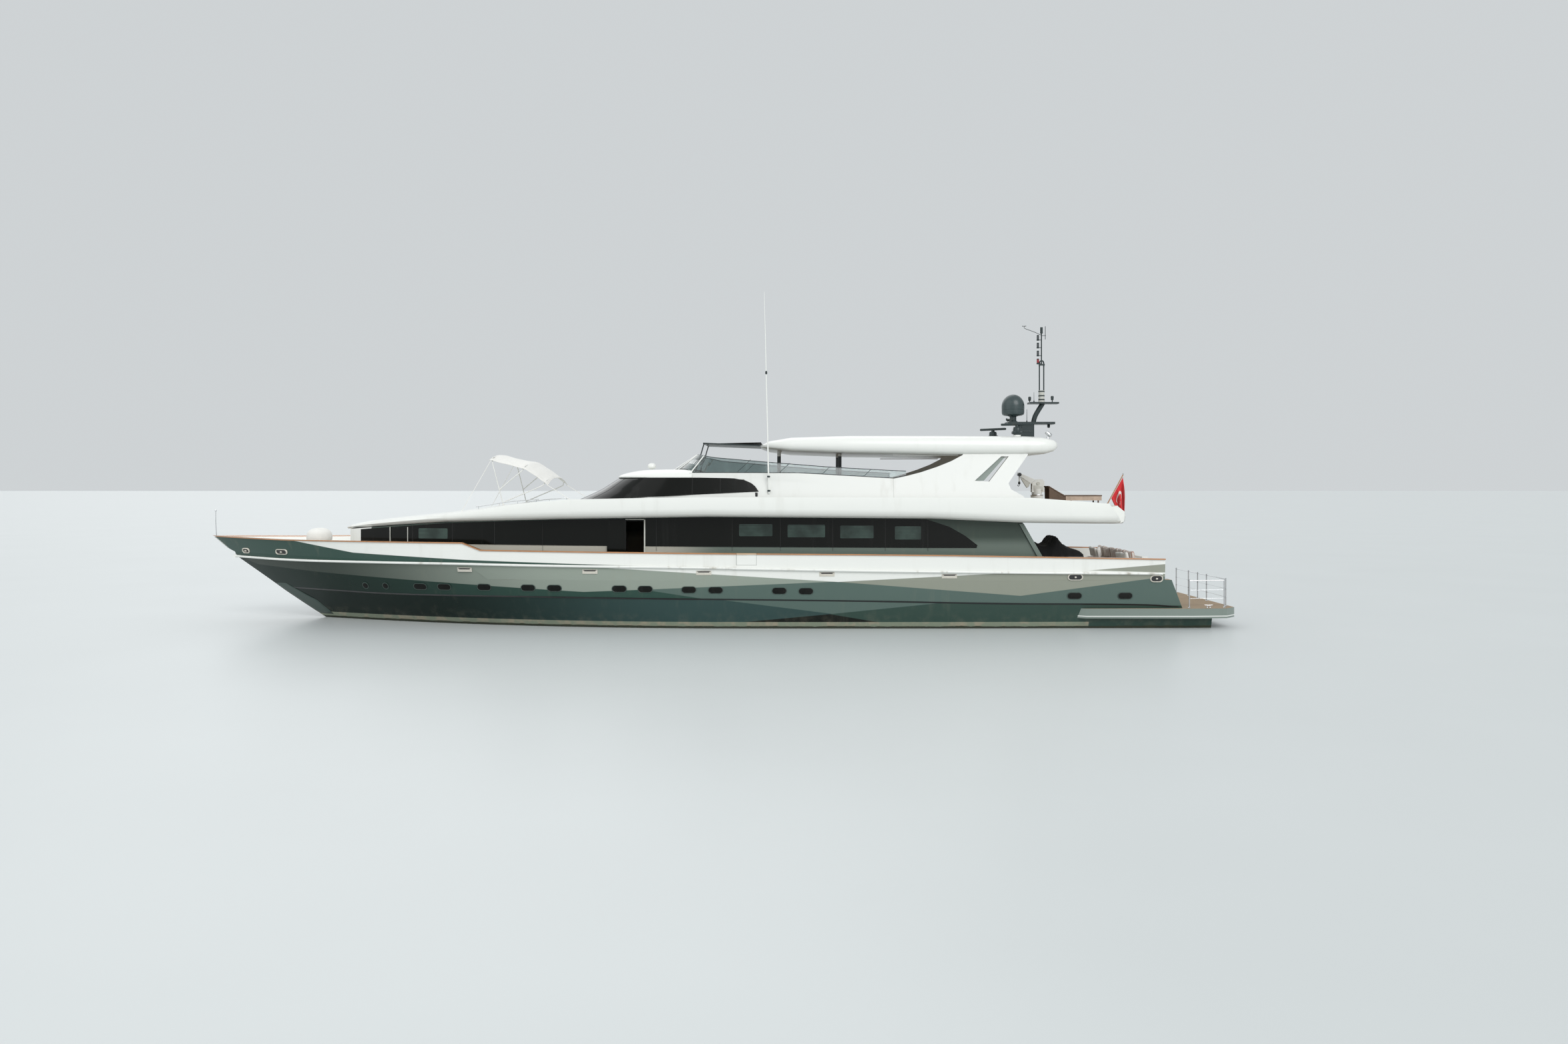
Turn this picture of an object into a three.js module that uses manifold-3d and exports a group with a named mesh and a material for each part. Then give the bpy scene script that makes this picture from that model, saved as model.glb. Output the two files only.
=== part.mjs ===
// A motor yacht about 38.5 m long, in millimetres.
// +X is the bow, +Y is port and +Z is up. The origin is amidships, on the centreline at the waterline.
import * as THREE from 'three';
import { mergeVertices } from 'three/addons/utils/BufferGeometryUtils.js';
import Module from 'manifold-3d';

const wasm = await Module();
wasm.setup();

// Driving dimensions
const GAP = 0.3; // between pieces that touch
const AFT_TAPER_START = -6000;
const AFT_TAPER = 0.07; // share of the half breadth lost at the stern
const STERN = -18400; // the hull's after end, under the bathing platform
const TRANSOM_LOW = [-17260, 800]; // x, z of the raked transom's foot
const TRANSOM_HIGH = [-16760, 1980];
const DECK_AFT = 1750; // side deck and after deck
const DECK_FORE = 2350; // foredeck where it starts
const DECK_RAMP = [7600, 8400]; // steps between the two decks
const DECK_RISE = 0.02; // slope of the foredeck towards the bow
const BULWARK_THICK = 110;
const CAPRAIL_THICK = 45;
const CAPRAIL_OVERHANG = 40;
const RUB_RAIL = { depth: 90, height: 110 };
const BULWARK_SPLIT = 8400; // where the bow bulwark meets the side bulwarks
const STERN_BULWARK_END = -16600;
const GATE = { from: -2060, to: -1340, sill: 2290 }; // boarding gates in the side bulwarks
const HOUSE = { aft: -12850, fore: 13150, nose: 13650, halfWidth: 2950, sideDeck: 950, wall: 90 };
const HOUSE_SPLIT = 12450; // where the front panel meets the side walls
const GLASS_THICK = 22;
const UPPER_DECK_FLOOR = 4350;
const UPPER_DECK_AFT = -15780;
const COACHROOF_AFT = 4600;
const COAMING_WALL = 120;
const HULL_WALL_LEAN = 0.3077; // how far the upper sides lean in for each unit of height
const BLOCK_FOOT = { z: 4690, halfWidth: 3330 }; // a line on the leaning upper side

// Lines of the boat as [x, value] rows, from aft to forward
const CENTRELINE = [ // height of keel and stem
  [-18400, -700], [-14000, -930], [-6000, -1300], [4000, -1500], [9500, -1600], [12200, -1230],
  [13600, -800], [14610, -140], [16170, 870], [17030, 1490], [18330, 2400], [19210, 3150], [19260, 3200],
];
const CHINE = [[-18400, -420], [-10000, -450], [0, -430], [8000, -300], [12000, -80], [15000, 80]];
const KNUCKLE = [
  [-17370, 770], [-15970, 870], [-10670, 930], [-5930, 1020], [-130, 1090], [5980, 1140],
  [11500, 1120], [14540, 1180], [16650, 1210],
];
const RUB = [
  [-16760, 1970], [-8270, 2060], [-3560, 2130], [440, 2210], [5770, 2270], [8340, 2310],
  [12080, 2320], [15630, 2320], [18300, 2380],
];
const SHEER = [
  [-16600, 2515], [-8280, 2670], [0, 2730], [7810, 2830], [8480, 3085], [11940, 3100],
  [15870, 3105], [19260, 3180],
];
const FASCIA_LOW = [
  [-15400, 3735], [-11700, 3780], [-8300, 3930], [-250, 4000], [5020, 3910], [9390, 3780],
  [12630, 3540], [13900, 3440],
];
const FASCIA_TOP = [[-15000, 4420], [-14660, 4470], [-14260, 4500], [-11870, 4680], [0, 4700], [4600, 4620]];
const COACHROOF_CROWN = [
  [4600, 4540], [7100, 4460], [9370, 4150], [11140, 3980], [12800, 3780], [13850, 3560],
];
// Widest half breadth at each height, as [z, y] rows
const BREADTH = [[-450, 3350], [0, 3520], [1100, 3760], [1750, 3850], [2200, 3900], [3200, 3940]];

// A row table read as straight lines between its rows
function line(rows) {
  return (x) => {
    if (x <= rows[0][0]) return rows[0][1];
    for (let i = 1; i < rows.length; i += 1) {
      if (x <= rows[i][0]) {
        const [x0, v0] = rows[i - 1];
        const [x1, v1] = rows[i];
        return v0 + ((v1 - v0) * (x - x0)) / (x1 - x0);
      }
    }
    return rows[rows.length - 1][1];
  };
}

// A row table read as one smooth curve through its rows
function curve(rows) {
  const slope = rows.map((row, i) => {
    const a = rows[Math.max(i - 1, 0)];
    const b = rows[Math.min(i + 1, rows.length - 1)];
    return (b[1] - a[1]) / (b[0] - a[0]);
  });
  return (x) => {
    if (x <= rows[0][0]) return rows[0][1];
    if (x >= rows[rows.length - 1][0]) return rows[rows.length - 1][1];
    const i = rows.findIndex((row) => x < row[0]);
    const [x0, v0] = rows[i - 1];
    const [x1, v1] = rows[i];
    const span = x1 - x0;
    const t = (x - x0) / span;
    const ease = t * t * (3 - 2 * t);
    const start = slope[i - 1] * span * t * (1 - t) * (1 - t);
    const end = slope[i] * span * t * t * (1 - t);
    return v0 + (v1 - v0) * ease + start - end;
  };
}

const keelHeight = line(CENTRELINE);
const stemAt = line(CENTRELINE.slice(4).map(([x, z]) => [z, x]));
const chineHeight = curve(CHINE);
const knuckleHeight = curve(KNUCKLE);
const rubHeight = curve(RUB);
const sheerHeight = line(SHEER);
const fasciaLow = line(FASCIA_LOW);
const fasciaTop = line(FASCIA_TOP);
const crownHeight = curve(COACHROOF_CROWN);
const widest = curve(BREADTH);

// Height of the main deck, with its steps up to the foredeck
function deckHeight(x) {
  const [low, high] = DECK_RAMP;
  if (x <= low) return DECK_AFT;
  if (x >= high) return DECK_FORE + DECK_RISE * (x - high);
  return DECK_AFT + ((DECK_FORE - DECK_AFT) * (x - low)) / (high - low);
}

// Half breadth of the hull's outer skin at a place along it and a height
function breadth(x, z) {
  const lift = THREE.MathUtils.clamp(z / rubHeight(0), 0, 1);
  const start = THREE.MathUtils.lerp(-1500, 1500, lift);
  const power = THREE.MathUtils.lerp(1.9, 2.5, lift);
  const along = Math.max(0, (x - start) / (stemAt(z) - start));
  const astern = Math.max(0, (AFT_TAPER_START - x) / (AFT_TAPER_START - STERN));
  return Math.max(0, widest(z) * (1 - along ** power) * (1 - AFT_TAPER * astern * astern));
}

function transomAt(z) {
  const [x0, z0] = TRANSOM_LOW;
  const [x1, z1] = TRANSOM_HIGH;
  return x0 + ((x1 - x0) * (z - z0)) / (z1 - z0);
}

// Places between two ends, closer together towards the bow
function stations(from, to, count) {
  return Array.from({ length: count + 1 }, (_, i) => from + (to - from) * Math.sin((i / count) * 0.5 * Math.PI));
}

// A closed solid from a three.js geometry
function solidOf(geometry) {
  const bare = geometry.index ? geometry.toNonIndexed() : geometry.clone();
  bare.deleteAttribute('normal');
  bare.deleteAttribute('uv');
  const merged = mergeVertices(bare, 1e-3);
  const kept = [];
  const index = merged.index.array;
  for (let i = 0; i < index.length; i += 3) {
    const [a, b, c] = [index[i], index[i + 1], index[i + 2]];
    if (a !== b && b !== c && c !== a) kept.push(a, b, c);
  }
  return new wasm.Manifold(new wasm.Mesh({
    numProp: 3,
    vertProperties: new Float32Array(merged.attributes.position.array),
    triVerts: new Uint32Array(kept),
  }));
}

// Triangles that close a ring of points, seen along its own normal
function capOf(ring) {
  const normal = new THREE.Vector3();
  ring.forEach((a, i) => {
    const b = ring[(i + 1) % ring.length];
    normal.x += (a[1] - b[1]) * (a[2] + b[2]);
    normal.y += (a[2] - b[2]) * (a[0] + b[0]);
    normal.z += (a[0] - b[0]) * (a[1] + b[1]);
  });
  const size = [Math.abs(normal.x), Math.abs(normal.y), Math.abs(normal.z)];
  const drop = size.indexOf(Math.max(...size));
  const [u, v] = [[1, 2], [2, 0], [0, 1]][drop];
  const flat = ring.map((p) => new THREE.Vector2(p[u], p[v]));
  const turned = THREE.ShapeUtils.area(flat) < 0;
  const order = ring.map((_, i) => (turned ? ring.length - 1 - i : i));
  const faces = THREE.ShapeUtils.triangulateShape(order.map((i) => flat[i]), []);
  return faces.map((face) => (turned ? [...face].reverse() : face).map((k) => order[k]));
}

// A solid skinned over rings of points that all have the same number of points
function loft(rings) {
  const count = rings[0].length;
  const points = rings.flat();
  const faces = [];
  for (let i = 0; i + 1 < rings.length; i += 1) {
    for (let j = 0; j < count; j += 1) {
      const k = (j + 1) % count;
      const [a, b, c, d] = [i * count + j, i * count + k, (i + 1) * count + k, (i + 1) * count + j];
      // The starboard side takes the mirror image of the port side's diagonals
      if (points[a][1] + points[b][1] + points[c][1] + points[d][1] >= 0) faces.push([a, b, c], [a, c, d]);
      else faces.push([a, b, d], [b, c, d]);
    }
  }
  const last = (rings.length - 1) * count;
  capOf(rings[0]).forEach(([a, b, c]) => faces.push([a, c, b]));
  capOf(rings[rings.length - 1]).forEach(([a, b, c]) => faces.push([last + a, last + b, last + c]));
  const volume = faces.reduce((sum, [a, b, c]) => {
    const [p, q, r] = [points[a], points[b], points[c]].map((v) => new THREE.Vector3(...v));
    return sum + p.dot(q.cross(r));
  }, 0);
  const outward = volume < 0 ? faces.map(([a, b, c]) => [a, c, b]) : faces;
  const geometry = new THREE.BufferGeometry();
  geometry.setAttribute('position', new THREE.Float32BufferAttribute(points.flat(), 3));
  geometry.setIndex(outward.flat());
  return solidOf(geometry);
}

// A ring across the boat from its port half, given as [y, z] points from the bottom up
function across(x, half) {
  const port = half.map(([y, z]) => [x, y, z]);
  const starboard = half.map(([y, z]) => [x, -y, z]).reverse();
  return [...port, ...starboard];
}

function box(x0, x1, y0, y1, z0, z1) {
  const geometry = new THREE.BoxGeometry(x1 - x0, y1 - y0, z1 - z0);
  geometry.translate((x0 + x1) / 2, (y0 + y1) / 2, (z0 + z1) / 2);
  return solidOf(geometry);
}

// A prism with an [x, z] outline, between two places across the boat
function sidePrism(outline, y0, y1) {
  return loft([y0, y1].map((y) => outline.map(([x, z]) => [x, y, z])));
}

// A prism with an [x, y] outline, between two heights
function planPrism(outline, z0, z1) {
  return loft([z0, z1].map((z) => outline.map(([x, y]) => [x, y, z])));
}

function cylinder(radius, from, to, sides = 16, endRadius = radius) {
  const a = new THREE.Vector3(...from);
  const b = new THREE.Vector3(...to);
  const geometry = new THREE.CylinderGeometry(endRadius, radius, a.distanceTo(b), sides);
  const turn = new THREE.Quaternion().setFromUnitVectors(new THREE.Vector3(0, 1, 0), b.clone().sub(a).normalize());
  geometry.applyQuaternion(turn);
  geometry.translate(...a.add(b).multiplyScalar(0.5).toArray());
  return solidOf(geometry);
}

// A round tube along a smooth run of points
function tube(points, radius, steps, sides = 8, tension = 0.5) {
  const path = new THREE.CatmullRomCurve3(points.map((p) => new THREE.Vector3(...p)), false, 'catmullrom', tension);
  const section = new THREE.Shape();
  section.absarc(0, 0, radius, 0, 2 * Math.PI);
  const geometry = new THREE.ExtrudeGeometry(section, {
    steps, curveSegments: sides, extrudePath: path, bevelEnabled: false,
  });
  return solidOf(geometry);
}

// A turned solid about a vertical axis, from [radius, height] rows that start and end on the axis
function turned(rows, place, sides = 20) {
  const geometry = new THREE.LatheGeometry(rows.map(([r, h]) => new THREE.Vector2(r, h)), sides);
  geometry.rotateX(0.5 * Math.PI);
  geometry.translate(...place);
  return solidOf(geometry);
}

const union = (solids) => solids.reduce((sum, next) => sum.add(next));
const shifted = (solid, ...moves) => union(moves.map((move) => solid.translate(move)));
const mirrored = (solid) => solid.mirror([0, 1, 0]);

// Finishes of the outer surfaces
const finish = (color, roughness, metalness = 0) => new THREE.MeshStandardMaterial({ color, roughness, metalness });
const WHITE = finish(0xe9e8e4, 0.3);
const HULL_PAINT = finish(0x3f5560, 0.35, 0.2);
const TEAK = finish(0x9a6a44, 0.7);
const STEEL = finish(0xc9cbcd, 0.2, 1);
const BLACK_GLASS = finish(0x121416, 0.08);
const TINTED = finish(0x6d747a, 0.1);
const GREY = finish(0x7f8488, 0.4, 0.4);
const DARK = finish(0x26282a, 0.6);
const BRONZE = finish(0xa8804a, 0.35, 1);
const FABRIC = finish(0xdedbd2, 0.9);
const WICKER = finish(0x5a4636, 0.85);
const SLATE = finish(0x3d4648, 0.45);
const RED = finish(0xb01c22, 0.85);

const group = new THREE.Group();

// Puts one closed solid into the boat as a named piece
function piece(name, solid, material) {
  const { vertProperties, triVerts } = solid.getMesh();
  const geometry = new THREE.BufferGeometry();
  geometry.setAttribute('position', new THREE.Float32BufferAttribute(vertProperties, 3));
  geometry.setIndex([...triVerts]);
  const mesh = new THREE.Mesh(geometry, material);
  mesh.name = name;
  group.add(mesh);
  return solid;
}

// Makes the port piece and its mirror image to starboard
function pair(name, solid, material) {
  piece(`${name}_port`, solid, material);
  piece(`${name}_starboard`, mirrored(solid), material);
}

// Hull: keel, chine, knuckle and deck edge at each station, with the raked transom
const SHAFT = {
  hull: -9600, end: -13900, y: 1500, z: -1390, rise: 0.105, radius: 55, bore: 62, barrel: 120,
};
const shaftHeight = (x) => SHAFT.z + SHAFT.rise * (x - SHAFT.end);
const RUDDER = { x: -15250, y: 1500, top: -850, foot: -1850, stock: 60, gland: 130, glandFoot: -760 };
const KEEL_FIN = { from: -9000, to: 6500, foot: -1780, halfWidth: 90 };
const STAIRS = { y0: 2480, y1: 3180, first: -16050, tread: 300, riser: 255, count: 4 };
const PLATFORM = { fore: -13450, aft: -19280, top: 730, bottom: 380, halfWidth: 3560 };

function hullHalf(x, top) {
  const low = Math.min(keelHeight(x), top);
  const heights = [
    chineHeight(x), 0.5 * (chineHeight(x) + knuckleHeight(x)), knuckleHeight(x), Math.min(rubHeight(x), top), top,
  ];
  const sides = heights.map((z) => Math.min(Math.max(z, low), top)).map((z) => [breadth(x, z), z]);
  return [[0, low], ...sides];
}

function rakedRing() {
  const half = hullHalf(TRANSOM_LOW[0], DECK_AFT);
  return across(0, half).map(([, y, z]) => [transomAt(z), y, z]);
}

function mainHull() {
  const places = [
    -16000, -14000, -12000, -9000, -6000, -3000, 0, 2000, 4000, 6000, 7000, ...DECK_RAMP, 9500, 10500, 11500,
    12500, 13500, 14300, 15000, 15700, 16400, 17000, 17500, 18000, 18320,
  ];
  const rings = places.map((x) => across(x, hullHalf(x, deckHeight(x))));
  return loft([rakedRing(), ...rings]);
}

function underStern() {
  return loft([STERN, -17000, -15500].map((x) => across(x, hullHalf(x, PLATFORM.bottom - GAP))));
}

function sternStairs() {
  const steps = Array.from({ length: STAIRS.count }, (_, i) => {
    const fore = STAIRS.first - i * STAIRS.tread;
    return box(-18000, fore, STAIRS.y0, STAIRS.y1, DECK_AFT - (i + 1) * STAIRS.riser, DECK_AFT + 500);
  });
  return union(steps);
}

function rudderGland() {
  return cylinder(RUDDER.gland, [RUDDER.x, RUDDER.y, RUDDER.glandFoot], [RUDDER.x, RUDDER.y, 0], 20);
}

function shaftLog() {
  const x0 = SHAFT.hull - 900;
  const x1 = SHAFT.hull + 900;
  return cylinder(SHAFT.barrel, [x0, SHAFT.y, shaftHeight(x0)], [x1, SHAFT.y, shaftHeight(x1)], 16);
}

// The blind bore in which a propeller shaft turns
function shaftBore() {
  const x0 = SHAFT.hull - 1200;
  const x1 = SHAFT.hull + 500;
  return cylinder(SHAFT.bore, [x0, SHAFT.y, shaftHeight(x0)], [x1, SHAFT.y, shaftHeight(x1)], 24);
}

function keelFin() {
  const { from, to, foot, halfWidth } = KEEL_FIN;
  return sidePrism([[from, foot], [to - 1500, foot], [to, -1300], [from, -1000]], -halfWidth, halfWidth);
}

const shaftTilt = Math.atan(SHAFT.rise);
function onShaft(solid) {
  return solid.rotate([0, -THREE.MathUtils.radToDeg(shaftTilt), 0]).translate([SHAFT.end, SHAFT.y, SHAFT.z]);
}
const BRACKET = { along: 700, length: 320, barrel: 100, bore: 56, leg: 330, chord: 200, thick: 45 };
function shaftBracket() {
  const { along, length, barrel, bore, leg, chord, thick } = BRACKET;
  const tubeSolid = cylinder(barrel, [along - length / 2, 0, 0], [along + length / 2, 0, 0], 24);
  const hole = cylinder(bore, [along - length, 0, 0], [along + length, 0, 0], 24);
  const foot = [[-0.5, 0], [0, 0.5], [0.5, 0], [0, -0.5]];
  const legs = [-1, 1].map((side) => loft([[0.5 * barrel, 30], [leg, 1100]].map(([y, z]) => (
    foot.map(([u, v]) => [along + u * chord, side * y + v * thick, z])
  ))));
  return onShaft(union([tubeSolid, ...legs]).subtract(hole));
}

// Coaming of the foredeck hatch
const HATCH = { aft: 16250, fore: 16850, half: 300, frame: 70, coaming: 90, lid: 45 };
const hatchZ = deckHeight(HATCH.fore);
const hatchFrame = box(HATCH.aft, HATCH.fore, -HATCH.half, HATCH.half, hatchZ - 100, hatchZ + HATCH.coaming).subtract(
  box(HATCH.aft + HATCH.frame, HATCH.fore - HATCH.frame, HATCH.frame - HATCH.half, HATCH.half - HATCH.frame, 0, 4000),
);

const brackets = shaftBracket().add(mirrored(shaftBracket()));
const shaftLogs = shaftLog().add(mirrored(shaftLog()));
const shaftBores = shaftBore().add(mirrored(shaftBore()));
const glands = rudderGland().add(mirrored(rudderGland()));
const stairs = sternStairs().add(mirrored(sternStairs()));
const hull = union([mainHull(), underStern(), keelFin(), shaftLogs, glands, brackets, hatchFrame])
  .subtract(stairs)
  .subtract(shaftBores);
piece('hull', hull, HULL_PAINT);
// The hull with a seat's gap round it
const grownHull = shifted(hull, [0, GAP, 0], [0, -GAP, 0], [GAP, 0, 0], [-GAP, 0, 0]);

// Bulwarks: the hull's skin carried up above the deck, hollowed to a wall
function skinBand(from, to, inset, bottom, top) {
  const places = [
    from, -16000, -12000, -9000, -6000, -3000, 0, 2000, 4000, 6000, ...DECK_RAMP, 7810, 8480, 9500, 10500, 11500,
    12500, 13500, 14300, 15000, 15700, 16400, 17000, 17500, 18000, 18320, 18700, 19000, to,
  ].filter((x) => x >= from && x <= to).sort((a, b) => a - b);
  const rings = places.map((x) => {
    const low = Math.min(Math.max(bottom(x), keelHeight(x)), top(x));
    const middle = Math.min(Math.max(rubHeight(x), low), top(x));
    const width = (z) => Math.max(1, breadth(x, z) - inset);
    return across(x, [low, middle, top(x)].map((z) => [width(z), z]));
  });
  return loft(rings);
}

const BOW = 19200;
const bulwarkFoot = (x) => deckHeight(x) + GAP;
const bulwarkTop = (x) => sheerHeight(x) - CAPRAIL_THICK - GAP;
const bulwarks = skinBand(STERN_BULWARK_END, BOW, 0, bulwarkFoot, bulwarkTop)
  .subtract(skinBand(
    STERN_BULWARK_END - 100, BOW, BULWARK_THICK, (x) => bulwarkFoot(x) - 50, (x) => bulwarkTop(x) + 50,
  ));
const FAR = 30000;
const bowPart = box(BULWARK_SPLIT + GAP, FAR, -FAR, FAR, -FAR, FAR);
const portPart = box(-FAR, BULWARK_SPLIT, 10, FAR, -FAR, FAR);
const gateSpace = box(GATE.from, GATE.to, 3000, 4500, GATE.sill, 3500);
piece('bow_bulwark', bulwarks.intersect(bowPart), WHITE);
pair('side_bulwark', bulwarks.intersect(portPart).subtract(gateSpace), WHITE);

// Boarding gates with their own length of caprail, hinged at the fore edge
const GATE_CLEAR = 8;
const caprailFoot = (x) => sheerHeight(x) - CAPRAIL_THICK;
const caprails = skinBand(STERN_BULWARK_END, BOW + 40, -CAPRAIL_OVERHANG, caprailFoot, sheerHeight)
  .subtract(skinBand(
    STERN_BULWARK_END - 100, BOW + 40, BULWARK_THICK,
    (x) => caprailFoot(x) - 50, (x) => sheerHeight(x) + 50,
  ));
const GATE_HINGE = { x: GATE.to - 22, y: 3805, pin: 8, edge: 12 };
const gateLeafSpace = box(GATE.from + GATE_CLEAR, GATE.to - GATE_HINGE.edge, 3000, 4500, GATE.sill + GATE_CLEAR, 3500);
const gateLeaf = bulwarks.intersect(gateLeafSpace);
const gateRail = caprails.translate([0, 0, -2 * GAP]).intersect(gateLeafSpace);
const gatePin = cylinder(
  GATE_HINGE.pin, [GATE_HINGE.x, GATE_HINGE.y, GATE.sill + GAP], [GATE_HINGE.x, GATE_HINGE.y, GATE.sill + 60], 12,
);
pair('boarding_gate', union([gateLeaf, gateRail, gatePin]), WHITE);

const foreCaprail = box(GATE.to, FAR, -FAR, FAR, -FAR, FAR);
const aftCaprail = box(-FAR, GATE.from, 10, FAR, -FAR, FAR);
piece('caprail_forward', caprails.intersect(foreCaprail), TEAK);
pair('caprail_aft', caprails.intersect(aftCaprail), TEAK);

// Rub rail: a half-round rail on the bulwarks, carried round the stem
function rubRail() {
  const { depth, height } = RUB_RAIL;
  const rings = stations(-16500, 18330, 26).map((x) => {
    const z = rubHeight(x);
    const y = breadth(x, z);
    const root = Math.max(0, y - 50);
    return [
      [x, root, z - height / 2], [x, y + 0.8 * depth, z - 0.3 * height], [x, y + depth, z],
      [x, y + 0.8 * depth, z + 0.3 * height], [x, root, z + height / 2],
    ];
  });
  return loft(rings);
}
const grownBulwarks = shifted(bulwarks, [0, GAP, 0], [0, -GAP, 0], [GAP, 0, 0]);
const stemCap = box(18250, 18420, -40, 40, rubHeight(18300) - 55, rubHeight(18300) + 55);
const rubRails = union([rubRail(), mirrored(rubRail()), stemCap]).subtract(grownBulwarks).subtract(grownHull);
piece('rub_rail', rubRails, WHITE);

// Main deckhouse: a hollow house between the main deck and the upper deck, split into its panels
const houseHalf = (x) => Math.min(HOUSE.halfWidth, breadth(Math.min(x, HOUSE.fore), 2300) - HOUSE.sideDeck);

function houseBand(from, inset, bottom, top, nose = HOUSE.nose - inset) {
  const places = [
    from, -11700, -8300, -4000, -250, 3000, 5020, ...DECK_RAMP, 9390, 10500, 11500, HOUSE_SPLIT, 12630, HOUSE.fore,
  ];
  const sides = places.map((x) => [x, Math.max(1, houseHalf(x) - inset)]);
  const end = houseHalf(HOUSE.fore) - inset;
  const front = [0.35, 0.7, 0.95].map((t) => [
    HOUSE.fore + (nose - HOUSE.fore) * Math.sin(t * 0.5 * Math.PI), end * Math.cos(t * 0.5 * Math.PI),
  ]);
  const rings = [...sides, ...front].map(([x, y]) => across(x, [[y, bottom(x)], [y, top(x)]]));
  return loft(rings);
}

const houseFoot = (x) => deckHeight(x) + GAP;
const houseTop = (x) => fasciaLow(x) - GAP;
const houseShell = houseBand(HOUSE.aft, 0, houseFoot, houseTop)
  .subtract(houseBand(HOUSE.aft - 50, HOUSE.wall, (x) => houseFoot(x) - 50, (x) => houseTop(x) + 50))
  .subtract(sidePrism([[HOUSE.aft, 1765], [-11640, 3885], [-14000, 3885], [-14000, 1765]], -FAR, FAR));

// Window openings as [aft edge, fore edge] along the side, and the side doors
const WINDOWS = [
  [-8000, -7050], [-6280, -5070], [-4520, -3160], [-2610, -1400], [-900, 1300], [4000, 5600], [5900, 7400],
  [7700, 9000], [9350, 10500],
];
const WINDOW_SILL = 3010;
const WINDOW_HEAD = 3640;
const SIDE_DOOR = { from: 2060, to: 2710, top: 3830 }; // slides forward
const FORE_DOOR = { from: 10960, to: 11640, top: 3560, sill: 2480 };
const windowSpaces = WINDOWS.map(([x0, x1]) => {
  const head = Math.min(WINDOW_HEAD, fasciaLow(x1) - 250);
  return sidePrism([[x0, WINDOW_SILL], [x1, WINDOW_SILL], [x1, head], [x0, head]], 500, 4000);
});
const sideDoorSpace = box(SIDE_DOOR.from, SIDE_DOOR.to, 500, 4000, 0, SIDE_DOOR.top);
const foreDoorSpace = box(FORE_DOOR.from, FORE_DOOR.to, 500, 4000, FORE_DOOR.sill, FORE_DOOR.top);
const sideWall = houseShell
  .intersect(box(-FAR, HOUSE_SPLIT - GAP, 500, FAR, -FAR, FAR))
  .subtract(union([...windowSpaces, sideDoorSpace, foreDoorSpace]));
pair('house_wall', sideWall, GREY);
piece('house_front', houseShell.intersect(box(HOUSE_SPLIT, FAR, -FAR, FAR, -FAR, FAR)), WHITE);

// Dark glazing outside the side walls, with its sweep down at the after end
const GLASS_SWEEP = [[-8160, 3900], [-9030, 3620], [-9610, 3290], [-10050, 2950], [-10000, 2800]];
const glassFoot = line([[-10000, 2850], [0, 2900], [13200, 3010]]);
const glassTop = (x) => fasciaLow(x) - 40;
const glassSkin = houseBand(-10100, -GLASS_THICK - GAP, glassFoot, glassTop)
  .subtract(houseBand(-10200, -GAP, (x) => glassFoot(x) - 50, (x) => glassTop(x) + 50));
const glassSide = sidePrism([...GLASS_SWEEP, [12900, 2800], [12900, 3900], [3000, 4100]], 500, 4000);
const doorMargin = 12;
const foreDoorHole = box(
  FORE_DOOR.from - doorMargin, FORE_DOOR.to + doorMargin, 500, 4000, 0, FORE_DOOR.top + doorMargin,
);
const sideDoorHole = box(SIDE_DOOR.from, SIDE_DOOR.to, 500, 4000, 0, SIDE_DOOR.top);
pair('house_glass', glassSkin.intersect(glassSide).subtract(foreDoorHole).subtract(sideDoorHole), BLACK_GLASS);

// Side doors: the after ones slide along the outside, the fore ones swing
const DOOR_THICK = 45;
const DOOR_CLEAR = 8;
const SIDE_DOOR_Y = HOUSE.halfWidth + GLASS_THICK + GAP + DOOR_CLEAR;
const sideDoorLeaf = (shift) => box(
  SIDE_DOOR.from + shift - 20, SIDE_DOOR.to + shift + 20, SIDE_DOOR_Y, SIDE_DOOR_Y + DOOR_THICK,
  DECK_AFT + GAP, SIDE_DOOR.top + 40,
);
const SIDE_DOOR_TRAVEL = SIDE_DOOR.to - SIDE_DOOR.from;
piece('side_door_port', sideDoorLeaf(SIDE_DOOR_TRAVEL), BLACK_GLASS);
piece('side_door_starboard', mirrored(sideDoorLeaf(0)), BLACK_GLASS);
const foreDoorFit = box(
  FORE_DOOR.from + DOOR_CLEAR, FORE_DOOR.to - DOOR_CLEAR, 500, 4000,
  FORE_DOOR.sill + DOOR_CLEAR, FORE_DOOR.top - DOOR_CLEAR,
);
const foreDoorBand = houseBand(HOUSE.aft, 0, houseFoot, houseTop)
  .subtract(houseBand(HOUSE.aft - 50, DOOR_THICK, (x) => houseFoot(x) - 50, (x) => houseTop(x) + 50));
const FORE_HINGE = { x: FORE_DOOR.to - 14, inset: 8, pin: 6 };
const foreHingeY = houseHalf(FORE_HINGE.x) - FORE_HINGE.inset;
const foreDoorPin = cylinder(
  FORE_HINGE.pin, [FORE_HINGE.x, foreHingeY, FORE_DOOR.sill + GAP], [FORE_HINGE.x, foreHingeY, FORE_DOOR.top - GAP], 12,
);
pair('fore_door', foreDoorBand.intersect(foreDoorFit).add(foreDoorPin), BLACK_GLASS);

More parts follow.
